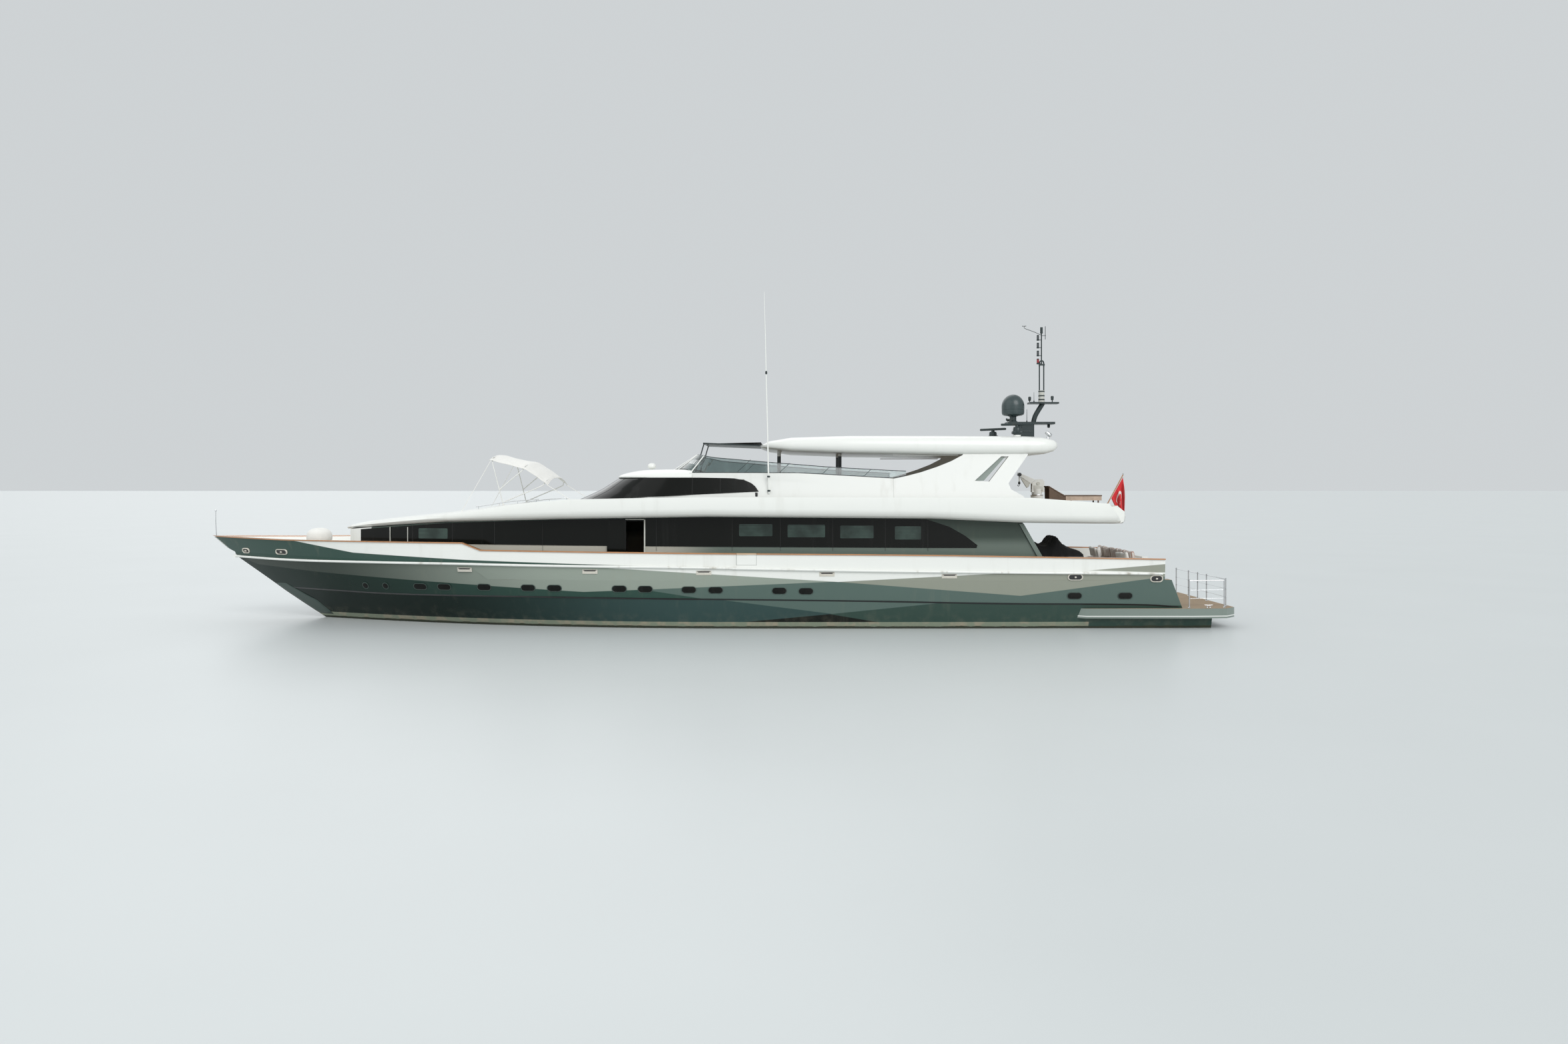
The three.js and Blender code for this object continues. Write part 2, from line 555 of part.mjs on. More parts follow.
// After bulkhead of the saloon with a wide doorway and two leaves that slide apart
const BULKHEAD = { x: -10950, thick: 80, door: 900, top: 3640 };
const houseWalls = sideWall.add(mirrored(sideWall));
const bulkhead = box(
  BULKHEAD.x - BULKHEAD.thick, BULKHEAD.x, -HOUSE.halfWidth + HOUSE.wall, HOUSE.halfWidth - HOUSE.wall,
  DECK_AFT + GAP, fasciaLow(BULKHEAD.x - BULKHEAD.thick) - GAP,
).subtract(box(-FAR, FAR, -BULKHEAD.door, BULKHEAD.door, 0, BULKHEAD.top))
  .subtract(shifted(houseWalls, [0, GAP, 0], [0, -GAP, 0]));
piece('saloon_bulkhead', bulkhead, WHITE);
const saloonLeaf = box(
  BULKHEAD.x - BULKHEAD.thick - DOOR_CLEAR - DOOR_THICK, BULKHEAD.x - BULKHEAD.thick - DOOR_CLEAR,
  DOOR_CLEAR, BULKHEAD.door + 40, DECK_AFT + GAP, BULKHEAD.top + 40,
);
pair('saloon_door', saloonLeaf, BLACK_GLASS);

// Upper deck: floor, deep fascia and low coaming, open at the stern
const bandHalf = line([
  [-15780, 1500], [-15650, 2250], [-15350, 3050], [-15000, 3380], [-14200, 3640], [-12000, 3700],
  [1000, 3700], [4000, 3560], [6000, 3330], [8000, 2950], [10000, 2430], [11500, 1960], [12600, 1560], [13300, 1150], [13700, 700], [13880, 300],
]);
const COAMING_WIDTH = 150;
const floorHeight = line([[1500, UPPER_DECK_FLOOR], [COACHROOF_AFT, 4530]]);
function upperDeckRing(x) {
  const low = fasciaLow(x);
  const top = fasciaTop(x);
  const y = bandHalf(x);
  const floor = floorHeight(x);
  return across(x, [
    [y - 260, low], [y - 60, low + 90], [y, low + 300], [y - 40, top], [y - 40 - COAMING_WIDTH, top],
    [y - 60 - COAMING_WIDTH, floor],
  ]);
}
const upperDeckPlaces = [
  UPPER_DECK_AFT, -15650, -15350, -15000, -14660, -14200, -13000, -11870, -11700, -10000, -8300, -5000, -250,
  1500, 3000, COACHROOF_AFT - GAP,
];
const sternRake = sidePrism(
  [[-14660, 4500], [-15200, 3830], [-15260, 3600], [-17000, 3600], [-17000, 4600]], 2950, 5000,
);
const sternShoulder = sidePrism(
  [[-15080, 4500], [-15140, 4370], [-15400, 4160], [-15840, 3850], [-15900, 3700], [-17000, 3700], [-17000, 4600]],
  900, 5000,
);
const sternCuts = sternRake.add(sternShoulder);
const upperDeck = loft(upperDeckPlaces.map(upperDeckRing)).subtract(sternCuts.add(mirrored(sternCuts)));
piece('upper_deck', upperDeck, WHITE);

// Coachroof over the fore part of the house, crowned and falling to the front
function coachroofRing(x) {
  const low = fasciaLow(x);
  const crown = crownHeight(x);
  const y = bandHalf(x);
  const rise = crown - low;
  const round = THREE.MathUtils.clamp((x - COACHROOF_AFT) / 3200, 0, 1);
  const edge = THREE.MathUtils.lerp(fasciaTop(x), low + 0.78 * rise, round);
  const shoulder = THREE.MathUtils.lerp(crown + 20, low + 0.93 * rise, round);
  return across(x, [
    [Math.max(20, y - 260), low], [y - 60, low + 0.16 * rise], [y, low + 0.45 * rise], [y - 60, edge],
    [0.72 * y, shoulder], [0.36 * y, low + 0.985 * rise], [0, crown],
  ]);
}
const coachroofPlaces = [
  COACHROOF_AFT, 5020, 6000, 7000, 8000, 8700, 9390, 10300, 11200, 12000, 12630, 13300, 13700, 13880,
];
const coachroof = loft(coachroofPlaces.map(coachroofRing));
piece('coachroof', coachroof, WHITE);

// Wheelhouse and flying bridge coaming: one leaning shell round the bow end, open aft
const leanHalf = (z) => BLOCK_FOOT.halfWidth - (z - BLOCK_FOOT.z) * HULL_WALL_LEAN;
const noseAt = line([[4000, 6140], [4510, 4990], [5410, 2960], [5600, 2800]]);
const SHOULDER_AT = 300; // where the rounded front starts
const FLY_AFT = -6970;
const NOSE_STEPS = 12;

function noseRing(z, nose, half, aft, shoulder = SHOULDER_AT) {
  const arc = Array.from({ length: NOSE_STEPS + 1 }, (_, i) => {
    const angle = (Math.PI * i) / NOSE_STEPS;
    const [c, s] = [Math.cos(angle), Math.sin(angle)];
    return [shoulder + (nose - shoulder) * s ** 0.75, half * Math.sign(c) * Math.abs(c) ** 0.75, z];
  });
  return [[aft, half, z], ...arc, [aft, -half, z]];
}

function leaningBlock(z0, z1, inset, aft, nose = noseAt, shoulder = SHOULDER_AT) {
  const heights = [z0, 0.5 * (z0 + z1), z1];
  return loft(heights.map((z) => noseRing(z, nose(z) - inset, leanHalf(z) - inset, aft, shoulder)));
}

const WHEELHOUSE_TOP = 5410;
const WHEELHOUSE_BACK = 400;
const coamingTop = [[-7500, 5340], [-3570, 5565], [WHEELHOUSE_BACK, 5575], [WHEELHOUSE_BACK, WHEELHOUSE_TOP]];
const aboveCoaming = sidePrism([...coamingTop, [9000, WHEELHOUSE_TOP], [9000, 7000], [-7500, 7000]], -FAR, FAR);
const decksBelow = upperDeck.add(coachroof).translate([0, 0, GAP]);
const PANES = [[-1600, -400], [-250, 1000]];
const paneFoot = line([[-2120, 4980], [4990, 4640]]);
const sidePanes = PANES.map(([x0, x1]) => sidePrism(
  [[x0, paneFoot(x0)], [x1, paneFoot(x1)], [x1, 5340], [x0, 5340]], -FAR, FAR,
));
const frontPanes = [[-900, 900], [1050, 2300], [-2300, -1050]].map(([y0, y1]) => box(1500, 6500, y0, y1, 4760, 5330));
const wheelhouse = leaningBlock(4200, 5700, 0, FLY_AFT)
  .subtract(leaningBlock(4100, 5800, COAMING_WALL, FLY_AFT - 100))
  .subtract(union([aboveCoaming, decksBelow, ...sidePanes, ...frontPanes]));
piece('wheelhouse_wall', wheelhouse, WHITE);

const GLASS_OUTLINE = [
  [6500, 4560], [4990, 4560], [-2120, 4900], [-1950, 5150], [-1650, 5300], [-1200, 5380], [0, 5400], [6500, 5400],
];
const wheelhouseGlass = leaningBlock(4300, 5600, -GLASS_THICK - GAP, -3000)
  .subtract(leaningBlock(4200, 5700, -GAP, -3100))
  .intersect(sidePrism(GLASS_OUTLINE, -FAR, FAR))
  .subtract(decksBelow);
piece('wheelhouse_glass', wheelhouseGlass, BLACK_GLASS);

function wheelhouseRoof() {
  const aft = WHEELHOUSE_BACK + GAP;
  const rings = [[WHEELHOUSE_TOP + GAP, 3000, 20], [5560, 2880, 10], [5640, 2650, -160], [5715, 2250, -600]];
  return loft(rings.map(([z, nose, grow]) => noseRing(z, nose, leanHalf(z) + grow, aft, WHEELHOUSE_BACK + 60)));
}
const roof = wheelhouseRoof();
piece('wheelhouse_roof', roof, WHITE);

const flyBulkhead = box(280, WHEELHOUSE_BACK, -3400, 3400, UPPER_DECK_FLOOR + GAP, 5570);
const flyInside = leaningBlock(4300, 5700, COAMING_WALL + GAP, -7000);
const helmConsole = sidePrism([
  [-520, UPPER_DECK_FLOOR + GAP], [300, UPPER_DECK_FLOOR + GAP], [300, 5520], [60, 5560], [-330, 5330],
], -750, 750);
const helmBlock = piece('helm_console', flyBulkhead.intersect(flyInside).add(helmConsole), WHITE);

// Tinted windscreen that stands on the coaming and on the wheelhouse roof
const SCREEN_THICK = 18;
const screenNose = line([[5500, 1400], [6300, 100]]);
const screenFoot = coamingTop.slice(0, 3).map(([x, z]) => [x, z + GAP]);
const SCREEN_TOP = [
  [3000, 6300], [350, 6290], [0, 6240], [-460, 6110], [-2430, 5960], [-4550, 5790], [-6100, 5700], [-7500, 5630],
];
const screenSide = sidePrism([...screenFoot, [3000, 5575 + GAP], ...SCREEN_TOP], -FAR, FAR);
const wingStart = sidePrism([
  [-6975 + GAP, 4300], [-6975 + GAP, 5362], [-7500, 5473], [-8000, 5605], [-8100, 4300],
], -FAR, FAR);
const screen = leaningBlock(5200, 6400, 40, -7500, screenNose, -600)
  .subtract(leaningBlock(5100, 6500, 40 + SCREEN_THICK, -7600, screenNose, -600))
  .intersect(screenSide)
  .subtract(wingStart)
  .subtract(roof.translate([0, 0, GAP]));
piece('fly_windscreen', screen, TINTED);

// Hardtop over the flying bridge, as [x, half width, underside, edge, crown] rows
const HARDTOP = [
  [-2150, 1500, 6570, 6610, 6650], [-2450, 2350, 6480, 6700, 6810], [-3300, 2830, 6380, 6790, 6950],
  [-5500, 3000, 6300, 6830, 7020], [-9000, 3000, 6250, 6830, 7020], [-12000, 2980, 6240, 6820, 7000],
  [-12550, 2920, 6270, 6810, 6980], [-12880, 2780, 6360, 6770, 6930], [-13060, 2520, 6480, 6700, 6830],
];
const hardtopShell = loft(HARDTOP.map(([x, y, low, edge, crown]) => across(x, [
  [y - 400, low], [y - 150, low + 0.03 * (edge - low)], [y - 35, low + 0.2 * (edge - low)],
  [y, 0.5 * (low + edge)], [y - 25, low + 0.8 * (edge - low)], [y - 110, edge],
  [0.55 * y, edge + 0.8 * (crown - edge)], [0, crown],
])));
const POSTS = { places: [-2840, -5160], y: 850, radius: 70 };
const posts = POSTS.places.flatMap((x) => [-POSTS.y, POSTS.y].map((y) => (
  cylinder(POSTS.radius, [x, y, UPPER_DECK_FLOOR + GAP], [x, y, 6600], 16)
)));
// Radars: a pedestal on the hardtop and a scanner bar that turns on it
const RADARS = {
  aft: { x: -11850, y: 1250, top: 7330, bar: 600, turn: -15 },
  fore: { x: -11400, y: -1150, top: 7270, bar: 600, turn: 135 },
};
const pedestals = Object.values(RADARS).map(({ x, y, top }) => cylinder(140, [x, y, 6800], [x, y, top], 16));
const hardtop = union([hardtopShell, ...posts, ...pedestals]);
piece('hardtop', hardtop, WHITE);
const hardtopBelow = hardtop.translate([0, 0, -GAP]);
const hardtopAbove = hardtop.translate([0, 0, GAP]);

// Arch wings between the coaming and the hardtop, with a raked slot near the after edge
const WING_THICK = 180;
const WING = [
  [-6975, 4351], [-6975, 5360], [-7500, 5470], [-8000, 5600], [-8600, 5800], [-9100, 6000], [-9520, 6220],
  [-9700, 6500], [-11900, 6500], [-11900, 6235], [-11420, 5600], [-11130, 5200], [-11210, 4980], [-11660, 4720],
  [-11660, 4351],
];
const WING_SLOT = [[-9920, 5290], [-10440, 5260], [-11200, 6180], [-10940, 6190]];
const wing = loft([0, WING_THICK].map((inset) => WING.map(([x, z]) => [x, leanHalf(z) - inset, z])))
  .subtract(sidePrism(WING_SLOT, 0, 5000))
  .subtract(hardtopBelow);
pair('arch_wing', wing, WHITE);

// Mast on the hardtop: box, lower plate, raked trunk and upper plate in one casting
function mastBody() {
  const foot = box(-12730, -12100, -260, 260, 6800, 7510).subtract(hardtopAbove);
  const lowerPlate = planPrism([[-13530, 300], [-11700, 330], [-11700, -330], [-13530, -300]], 7500, 7590);
  const trunk = tube([[-12750, 0, 7550], [-12830, 0, 7850], [-13120, 0, 8330]], 95, 6, 12);
  const upperPlate = planPrism([[-13710, 200], [-12570, 260], [-12570, -260], [-13710, -200]], 8300, 8365);
  return union([foot, lowerPlate, trunk, upperPlate]);
}

function lightPole() {
  const drum = cylinder(110, [-13070, 0, 8340], [-13070, 0, 8810], 16);
  const legs = [-12990, -13160].map((x) => cylinder(25, [x, 0, 8800], [x, 0, 9820], 8));
  const bridge = box(-13195, -12965, -28, 28, 9800, 9860);
  const pole = cylinder(24, [-13070, 0, 9850], [-13070, 0, 11060], 8);
  const topLight = cylinder(52, [-13070, 0, 11050], [-13070, 0, 11290], 12);
  return union([drum, ...legs, bridge, pole, topLight]);
}
piece('mast', mastBody().add(lightPole()), SLATE);

const DOME = { x: -11960, radius: 437, top: 8670 };
const domeRows = [
  [0, 7590 + GAP], [130, 7590 + GAP], [130, 7820], [300, 7870], [DOME.radius, 8060], [DOME.radius, 8230],
  [400, 8400], [300, 8550], [160, 8640], [0, DOME.top],
];
piece('satellite_dome', turned(domeRows, [DOME.x, 0, 0], 24), SLATE);

for (const [name, { x, y, top, bar, turn }] of Object.entries(RADARS)) {
  const hub = cylinder(70, [0, 0, top + GAP], [0, 0, top + 60], 16);
  const scanner = box(-bar, bar, -55, 55, top + 50, top + 150).rotate([0, 0, turn]);
  piece(`radar_scanner_${name}`, hub.add(scanner).translate([x, y, 0]), SLATE);
}

// Tall whip antenna held by two brackets to the coaming
const WHIP = { x: -2490, y: 3330, foot: 4830, brackets: [4930, 5440], joint: 9170, top: [-2320, 12080], radius: 30 };
function whip() {
  const { x, y, foot, brackets, joint, top, radius } = WHIP;
  const lean = (z) => x + ((top[0] - x) * (z - foot)) / (top[1] - foot);
  const low = cylinder(radius, [x, y, foot], [lean(joint), y, joint], 10, 0.7 * radius);
  const high = cylinder(0.7 * radius, [lean(joint - 20), y, joint - 20], [top[0], y, top[1]], 10, 8);
  const wall = leaningBlock(4200, 5700, -GAP, FLY_AFT);
  const arms = brackets.map((z) => box(x - 30, x + 30, 2900, y, z - 25, z + 25).subtract(wall));
  return union([low, high, ...arms]);
}
piece('whip_antenna', whip(), WHITE);

// Tender crane on the after upper deck: a post that slews and a boom that luffs
const CRANE = { x: -13400, y: -2200, base: 4750, post: 4990, radius: 210, reach: 800 };
const craneFoot = cylinder(250, [CRANE.x, CRANE.y, UPPER_DECK_FLOOR + GAP], [CRANE.x, CRANE.y, CRANE.base], 20);
piece('crane_base', craneFoot, WHITE);
const BOOM_PIN = { x: CRANE.x - 20, z: 5210 };
function craneHead() {
  const post = cylinder(CRANE.radius, [CRANE.x, CRANE.y, CRANE.base + GAP], [CRANE.x, CRANE.y, CRANE.post], 20);
  const outline = [[-240, 4850], [220, 4850], [220, 5230], [40, 5380], [-200, 5380], [-240, 5340]]
    .map(([dx, z]) => [CRANE.x + dx, z]);
  const cheeks = [-150, 110].map((dy) => sidePrism(outline, CRANE.y + dy, CRANE.y + dy + 40));
  const back = box(CRANE.x - 280, CRANE.x - 235, CRANE.y - 150, CRANE.y + 150, 4850, 5300);
  return union([post, ...cheeks, back]);
}
piece('crane_head', craneHead(), WHITE);
function craneBoom() {
  const rise = Math.tan(THREE.MathUtils.degToRad(27));
  const at = (x) => BOOM_PIN.z + (x - BOOM_PIN.x) * rise;
  const [x0, x1] = [BOOM_PIN.x - 80, BOOM_PIN.x + CRANE.reach];
  const side = [[x0, at(x0) - 125], [x0 + 260, at(x0 + 260) - 160], [x1, at(x1) - 60], [x1, at(x1) + 40],
    [x0, at(x0) + 125]];
  const beam = sidePrism(side, CRANE.y - 85, CRANE.y + 85);
  const tipX = x1 - 60;
  const hook = cylinder(24, [tipX, CRANE.y, at(tipX)], [tipX, CRANE.y, at(tipX) - 380], 10);
  const half = 110 - GAP;
  const pin = cylinder(25, [BOOM_PIN.x, CRANE.y - half, BOOM_PIN.z], [BOOM_PIN.x, CRANE.y + half, BOOM_PIN.z], 12);
  return union([beam, hook, pin]);
}
piece('crane_boom', craneBoom(), WHITE);

// Bathing platform round the stern, with its stainless posts along the after edge
const PLATFORM_EDGE = [[-13450, 3480], [-13800, 3680], [-17600, 3690], [-18850, 3580], [-19280, 3150]];
const PLATFORM_POSTS = [
  [-17550, 3450], [-18850, 3330], [-19080, 2900], [-19120, 1000], [-19120, 100], [-19120, -850], [-19120, -2200],
];
function bathingPlatform() {
  const outline = [...PLATFORM_EDGE, ...PLATFORM_EDGE.map(([x, y]) => [x, -y]).reverse()];
  const slab = planPrism(outline, PLATFORM.bottom, PLATFORM.top);
  const posts = PLATFORM_POSTS.map(([x, y]) => cylinder(20, [x, y, PLATFORM.top - 50], [x, y, PLATFORM.top + 1000], 10));
  return union([slab.subtract(grownHull), ...posts]);
}
piece('bathing_platform', bathingPlatform(), GREY);

// Stern gear below the water: shafts with their propellers, and rudders
const PROPELLER = { radius: 460, hub: 85, blades: 4, pitch: 900, thick: 22 };
function propellerBlade() {
  const { radius, hub, pitch, thick } = PROPELLER;
  const rows = [[hub - 25, 190], [0.5 * radius, 330], [0.82 * radius, 320], [radius, 120]];
  return loft(rows.map(([r, chord]) => {
    const angle = Math.atan(pitch / (2 * Math.PI * r));
    const [c, s] = [Math.cos(angle), Math.sin(angle)];
    const section = [[-0.5, 0.1], [0, 0.5], [0.5, 0.1], [0.5, -0.1], [0, -0.5], [-0.5, -0.1]];
    return section.map(([u, v]) => [u * chord * s + v * thick * c, -u * chord * c + v * thick * s, r]);
  }));
}
function propeller() {
  const { hub, blades } = PROPELLER;
  const boss = cylinder(hub, [-130, 0, 0], [140, 0, 0], 20, 0.85 * hub);
  const shaft = cylinder(SHAFT.radius, [-100, 0, 0], [4700, 0, 0], 24);
  const fans = Array.from({ length: blades }, (_, i) => propellerBlade().rotate([(360 * i) / blades + 45, 0, 0]));
  return onShaft(union([boss, shaft, ...fans]));
}
pair('propeller', propeller(), BRONZE);

function rudder() {
  const { x, y, top, foot, stock, glandFoot } = RUDDER;
  const blade = loft([[foot, -480, 180], [top, -620, 250]].map(([z, aft, fore]) => [
    [x + fore, y, z], [x + 0.3 * fore, y + 50, z], [x + aft, y + 8, z], [x + aft, y - 8, z], [x + 0.3 * fore, y - 50, z],
  ]));
  return blade.add(cylinder(stock, [x, y, top - 200], [x, y, glandFoot - GAP], 16));
}
pair('rudder', rudder(), BRONZE);

// After deck: transom coaming, sofa with its cushion and a covered table
const transomCoaming = box(-16420, -16200, -2400, 2400, DECK_AFT + GAP, 2500);
const sofaBase = box(-16200, -15350, -2200, 2200, DECK_AFT + GAP, 2080);
const sofaBack = box(-16240, -16080, -2200, 2200, DECK_AFT + GAP, 2430);
piece('after_sofa', union([transomCoaming, sofaBase, sofaBack]), WHITE);
const seatPad = box(-16070, -15360, -2180, 2180, 2080 + GAP, 2230);
piece('after_sofa_cushion', seatPad, FABRIC);
const tableCover = sidePrism([
  [-14480, DECK_AFT + GAP], [-12420, DECK_AFT + GAP], [-12440, 2900], [-12620, 2960], [-12880, 2830],
  [-13120, 2900], [-13340, 3170], [-13460, 3170], [-13660, 2920], [-13950, 2740], [-14440, 2560],
], -700, 1100);
piece('covered_table', tableCover, DARK);

// Flying bridge: helm seat, sofa, and the wicker lounger further aft
const fly = UPPER_DECK_FLOOR + GAP;
const helmSeat = union([
  box(-1750, -1250, -700, 700, fly, 4800), box(-1850, -1230, -720, 720, 4780, 4960),
  sidePrism([[-1850, 4950], [-1700, 4950], [-1830, 5560], [-1960, 5560]], -720, 720),
]);
piece('helm_seat', helmSeat, FABRIC);
const flySofa = union([
  box(-9000, -6200, 1400, 2300, fly, 4800), box(-9000, -6200, 2150, 2400, fly, 5250),
  box(-9000, -8500, -600, 2300, fly, 4800), box(-9150, -8900, -600, 2400, fly, 5250),
]);
piece('fly_sofa', flySofa, FABRIC);
const lounger = union([
  box(-14950, -13600, 900, 1650, fly + 250, 4770), box(-14870, -14770, 920, 1630, fly, 4700),
  box(-13850, -13750, 920, 1630, fly, 4700),
  sidePrism([[-13680, 4640], [-13600, 4760], [-12950, 5120], [-12910, 5020], [-13530, 4640]], 900, 1650),
]);
piece('lounger', lounger, WICKER);

// Ensign staff raked aft at the stern of the upper deck, and the hanging ensign
const STAFF = { foot: [-15600, 0, UPPER_DECK_FLOOR - 20], top: [-16250, 0, 5540], radius: 22 };
const staff = cylinder(STAFF.radius, STAFF.foot, STAFF.top, 10).subtract(upperDeck.translate([0, 0, GAP]));
piece('ensign_staff', staff, TEAK);
const ENSIGN = [
  [-16205, 5450], [-15965, 4985], [-15880, 4740], [-15860, 3900], [-16120, 3850], [-16330, 4400], [-16400, 5150],
];
const staffSeat = cylinder(STAFF.radius + 2 * GAP, STAFF.foot, STAFF.top, 10);
piece('ensign', sidePrism(ENSIGN, -45, 45).subtract(staffSeat), RED);

// Foredeck: windlass, hatch lid and domed cover
const foredeckAt = (x) => deckHeight(x) + GAP;
function windlass() {
  const z = foredeckAt(14450);
  const base = box(13950, 14450, -420, 420, z, z + 90);
  const drums = [-250, 250].map((y) => cylinder(110, [14200, y, z + 60], [14200, y, z + 420], 16, 90));
  return union([base, ...drums]);
}
piece('windlass', windlass(), STEEL);
const lidFoot = hatchZ + HATCH.coaming + GAP;
const lid = box(HATCH.aft, HATCH.fore, -HATCH.half, HATCH.half, lidFoot, lidFoot + HATCH.lid);
piece('foredeck_hatch_lid', lid, WHITE);
const COVER = { x: 15080, radius: 480, top: 3470 };
const coverFoot = deckHeight(COVER.x - COVER.radius);
const coverRows = [
  [0, coverFoot], [400, coverFoot], [430, 2900], [COVER.radius, 3100], [440, 3280], [320, 3400], [150, 3460],
  [0, COVER.top],
];
const cover = turned(coverRows, [COVER.x, 0, 0], 20).subtract(hull.translate([0, 0, GAP]));
piece('foredeck_cover', cover, WHITE);

// Bimini over the coachroof: three bows from two pivots a side, and its canopy
const BIMINI = { y: 1850, tube: 20, cloth: 16 };
const BOWS = [ // foot x, z; shoulder x, z; crown x, z
  { foot: [7420, 4300], shoulder: [7860, 6040], crown: [7900, 6270] },
  { foot: [7592, 4960], shoulder: [6740, 5680], crown: [6620, 5990] },
  { foot: [7462, 4480], shoulder: [5960, 5130], crown: [5820, 5440] },
];
function bow({ foot, shoulder, crown }, radius) {
  const { y } = BIMINI;
  const side = [
    [foot[0], y, foot[1]], [0.5 * (foot[0] + shoulder[0]), y, 0.5 * (foot[1] + shoulder[1])],
    [shoulder[0], y - 20, shoulder[1]], [0.6 * crown[0] + 0.4 * shoulder[0], y - 280, 0.6 * crown[1] + 0.4 * shoulder[1]],
  ];
  const points = [...side, [crown[0], 0, crown[1]], ...side.map(([a, b, c]) => [a, -b, c]).reverse()];
  return tube(points, radius, 22, 6);
}
const biminiFrame = union(BOWS.map((each) => bow(each, BIMINI.tube))).subtract(decksBelow);
piece('bimini_frame', biminiFrame, STEEL);
function canopy() {
  const ribs = [
    [7960, 6040, 6255], [7900, 6060, 6290], [7250, 5880, 6150], [6640, 5720, 6010], [6200, 5440, 5740],
    [5840, 5180, 5465], [5790, 5130, 5430],
  ];
  return loft(ribs.map(([x, edge, crown]) => {
    const arch = [
      [BIMINI.y + 25, edge], [BIMINI.y - 120, edge + 130], [0.6 * BIMINI.y, 0.3 * edge + 0.7 * crown + 30],
      [0, crown + 20],
    ];
    const lower = [...arch, ...arch.slice(0, -1).map(([y, z]) => [-y, z]).reverse()];
    const upper = lower.map(([y, z]) => [y * (1 + BIMINI.cloth / 1800), z + BIMINI.cloth]).reverse();
    return [...lower, ...upper].map(([y, z]) => [x, y, z]);
  })).subtract(union(BOWS.map((each) => bow(each, BIMINI.tube + GAP))));
}
piece('bimini_canopy', canopy(), FABRIC);

// Sunshade ahead of the hardtop, on two legs from the bulkhead behind the windscreen
const SHADE_AFT = HARDTOP[0][0] + 2;
const shade = sidePrism([[SHADE_AFT, 6600], [20, 6690], [20, 6735], [SHADE_AFT, 6645]], -1450, 1450);
const shadeLegs = [-1200, 1200].map((y) => cylinder(22, [340, y, 5540], [0, y, 6710], 10)
  .subtract(helmBlock.translate([0, 0, GAP])));
piece('sunshade', union([shade, ...shadeLegs]), DARK);

export default group;
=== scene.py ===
import math

import bmesh
import bpy
from mathutils import Matrix, Vector
from mathutils.bvhtree import BVHTree


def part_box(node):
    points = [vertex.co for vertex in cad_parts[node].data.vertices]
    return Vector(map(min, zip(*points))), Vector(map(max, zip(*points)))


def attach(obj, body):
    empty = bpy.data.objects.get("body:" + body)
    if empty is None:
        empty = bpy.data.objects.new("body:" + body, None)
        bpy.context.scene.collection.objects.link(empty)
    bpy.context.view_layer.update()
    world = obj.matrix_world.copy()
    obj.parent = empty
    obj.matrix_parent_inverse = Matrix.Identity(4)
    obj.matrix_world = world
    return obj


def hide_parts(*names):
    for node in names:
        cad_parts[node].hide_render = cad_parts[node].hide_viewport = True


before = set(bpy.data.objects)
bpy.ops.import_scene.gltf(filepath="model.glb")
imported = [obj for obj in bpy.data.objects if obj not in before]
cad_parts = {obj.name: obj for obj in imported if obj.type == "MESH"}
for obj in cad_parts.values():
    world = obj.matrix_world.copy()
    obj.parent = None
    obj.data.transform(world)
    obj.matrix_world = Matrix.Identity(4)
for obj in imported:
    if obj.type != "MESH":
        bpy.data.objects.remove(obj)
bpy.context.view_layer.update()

bl_info = {
    "name": "Motor Yacht",
    "version": (1, 0, 0),
    "blender": (4, 5, 0),
    "location": "View3D > Sidebar > Yacht",
    "description": "Finishes, fittings and soft goods of a 38.5 m motor yacht",
    "category": "Object",
}

# Metres throughout. +X is the bow, +Y is port and +Z is up from the waterline.
SIDES = (("port", 1), ("starboard", -1))

# Lines of the boat as (x, value) rows, from aft to forward
STEM = [(9.5, -1.6), (12.2, -1.23), (13.6, -0.8), (14.61, -0.14), (16.17, 0.87), (17.03, 1.49),
        (18.33, 2.4), (19.21, 3.15), (19.26, 3.2)]
KNUCKLE = [(-17.37, 0.77), (-15.97, 0.87), (-10.67, 0.93), (-5.93, 1.02), (-0.13, 1.09),
           (5.98, 1.14), (11.5, 1.12), (14.54, 1.18), (16.65, 1.21)]
RUB = [(-16.76, 1.97), (-8.27, 2.06), (-3.56, 2.13), (0.44, 2.21), (5.77, 2.27), (8.34, 2.31),
       (12.08, 2.32), (15.63, 2.32), (18.3, 2.38)]
WIDEST = [(-0.45, 3.35), (0.0, 3.52), (1.1, 3.76), (1.75, 3.85), (2.2, 3.9), (3.2, 3.94)]
FASCIA_LOW = [(-15.4, 3.735), (-11.7, 3.78), (-8.3, 3.93), (-0.25, 4.0), (5.02, 3.91),
              (9.39, 3.78), (12.63, 3.54), (13.9, 3.44)]
DECK_HALF = [(-15.78, 1.5), (-15.65, 2.25), (-15.35, 3.05), (-15.0, 3.38), (-14.2, 3.64),
             (-12.0, 3.7), (1.0, 3.7), (4.0, 3.56), (6.0, 3.33), (8.0, 2.95), (10.0, 2.43),
             (11.5, 1.96), (12.6, 1.56), (13.3, 1.15), (13.7, 0.7), (13.88, 0.3)]
CROWN = [(4.6, 4.54), (7.1, 4.46), (9.37, 4.15), (11.14, 3.98), (12.8, 3.78), (13.85, 3.56)]

DECK = 4.352  # just above the upper deck's teak
PLATFORM = 0.73


def straight(rows):
    """A row table read as straight lines between its rows."""
    def read(at):
        if at <= rows[0][0]:
            return rows[0][1]
        for (x0, v0), (x1, v1) in zip(rows, rows[1:]):
            if at <= x1:
                return v0 + (v1 - v0) * (at - x0) / (x1 - x0)
        return rows[-1][1]
    return read


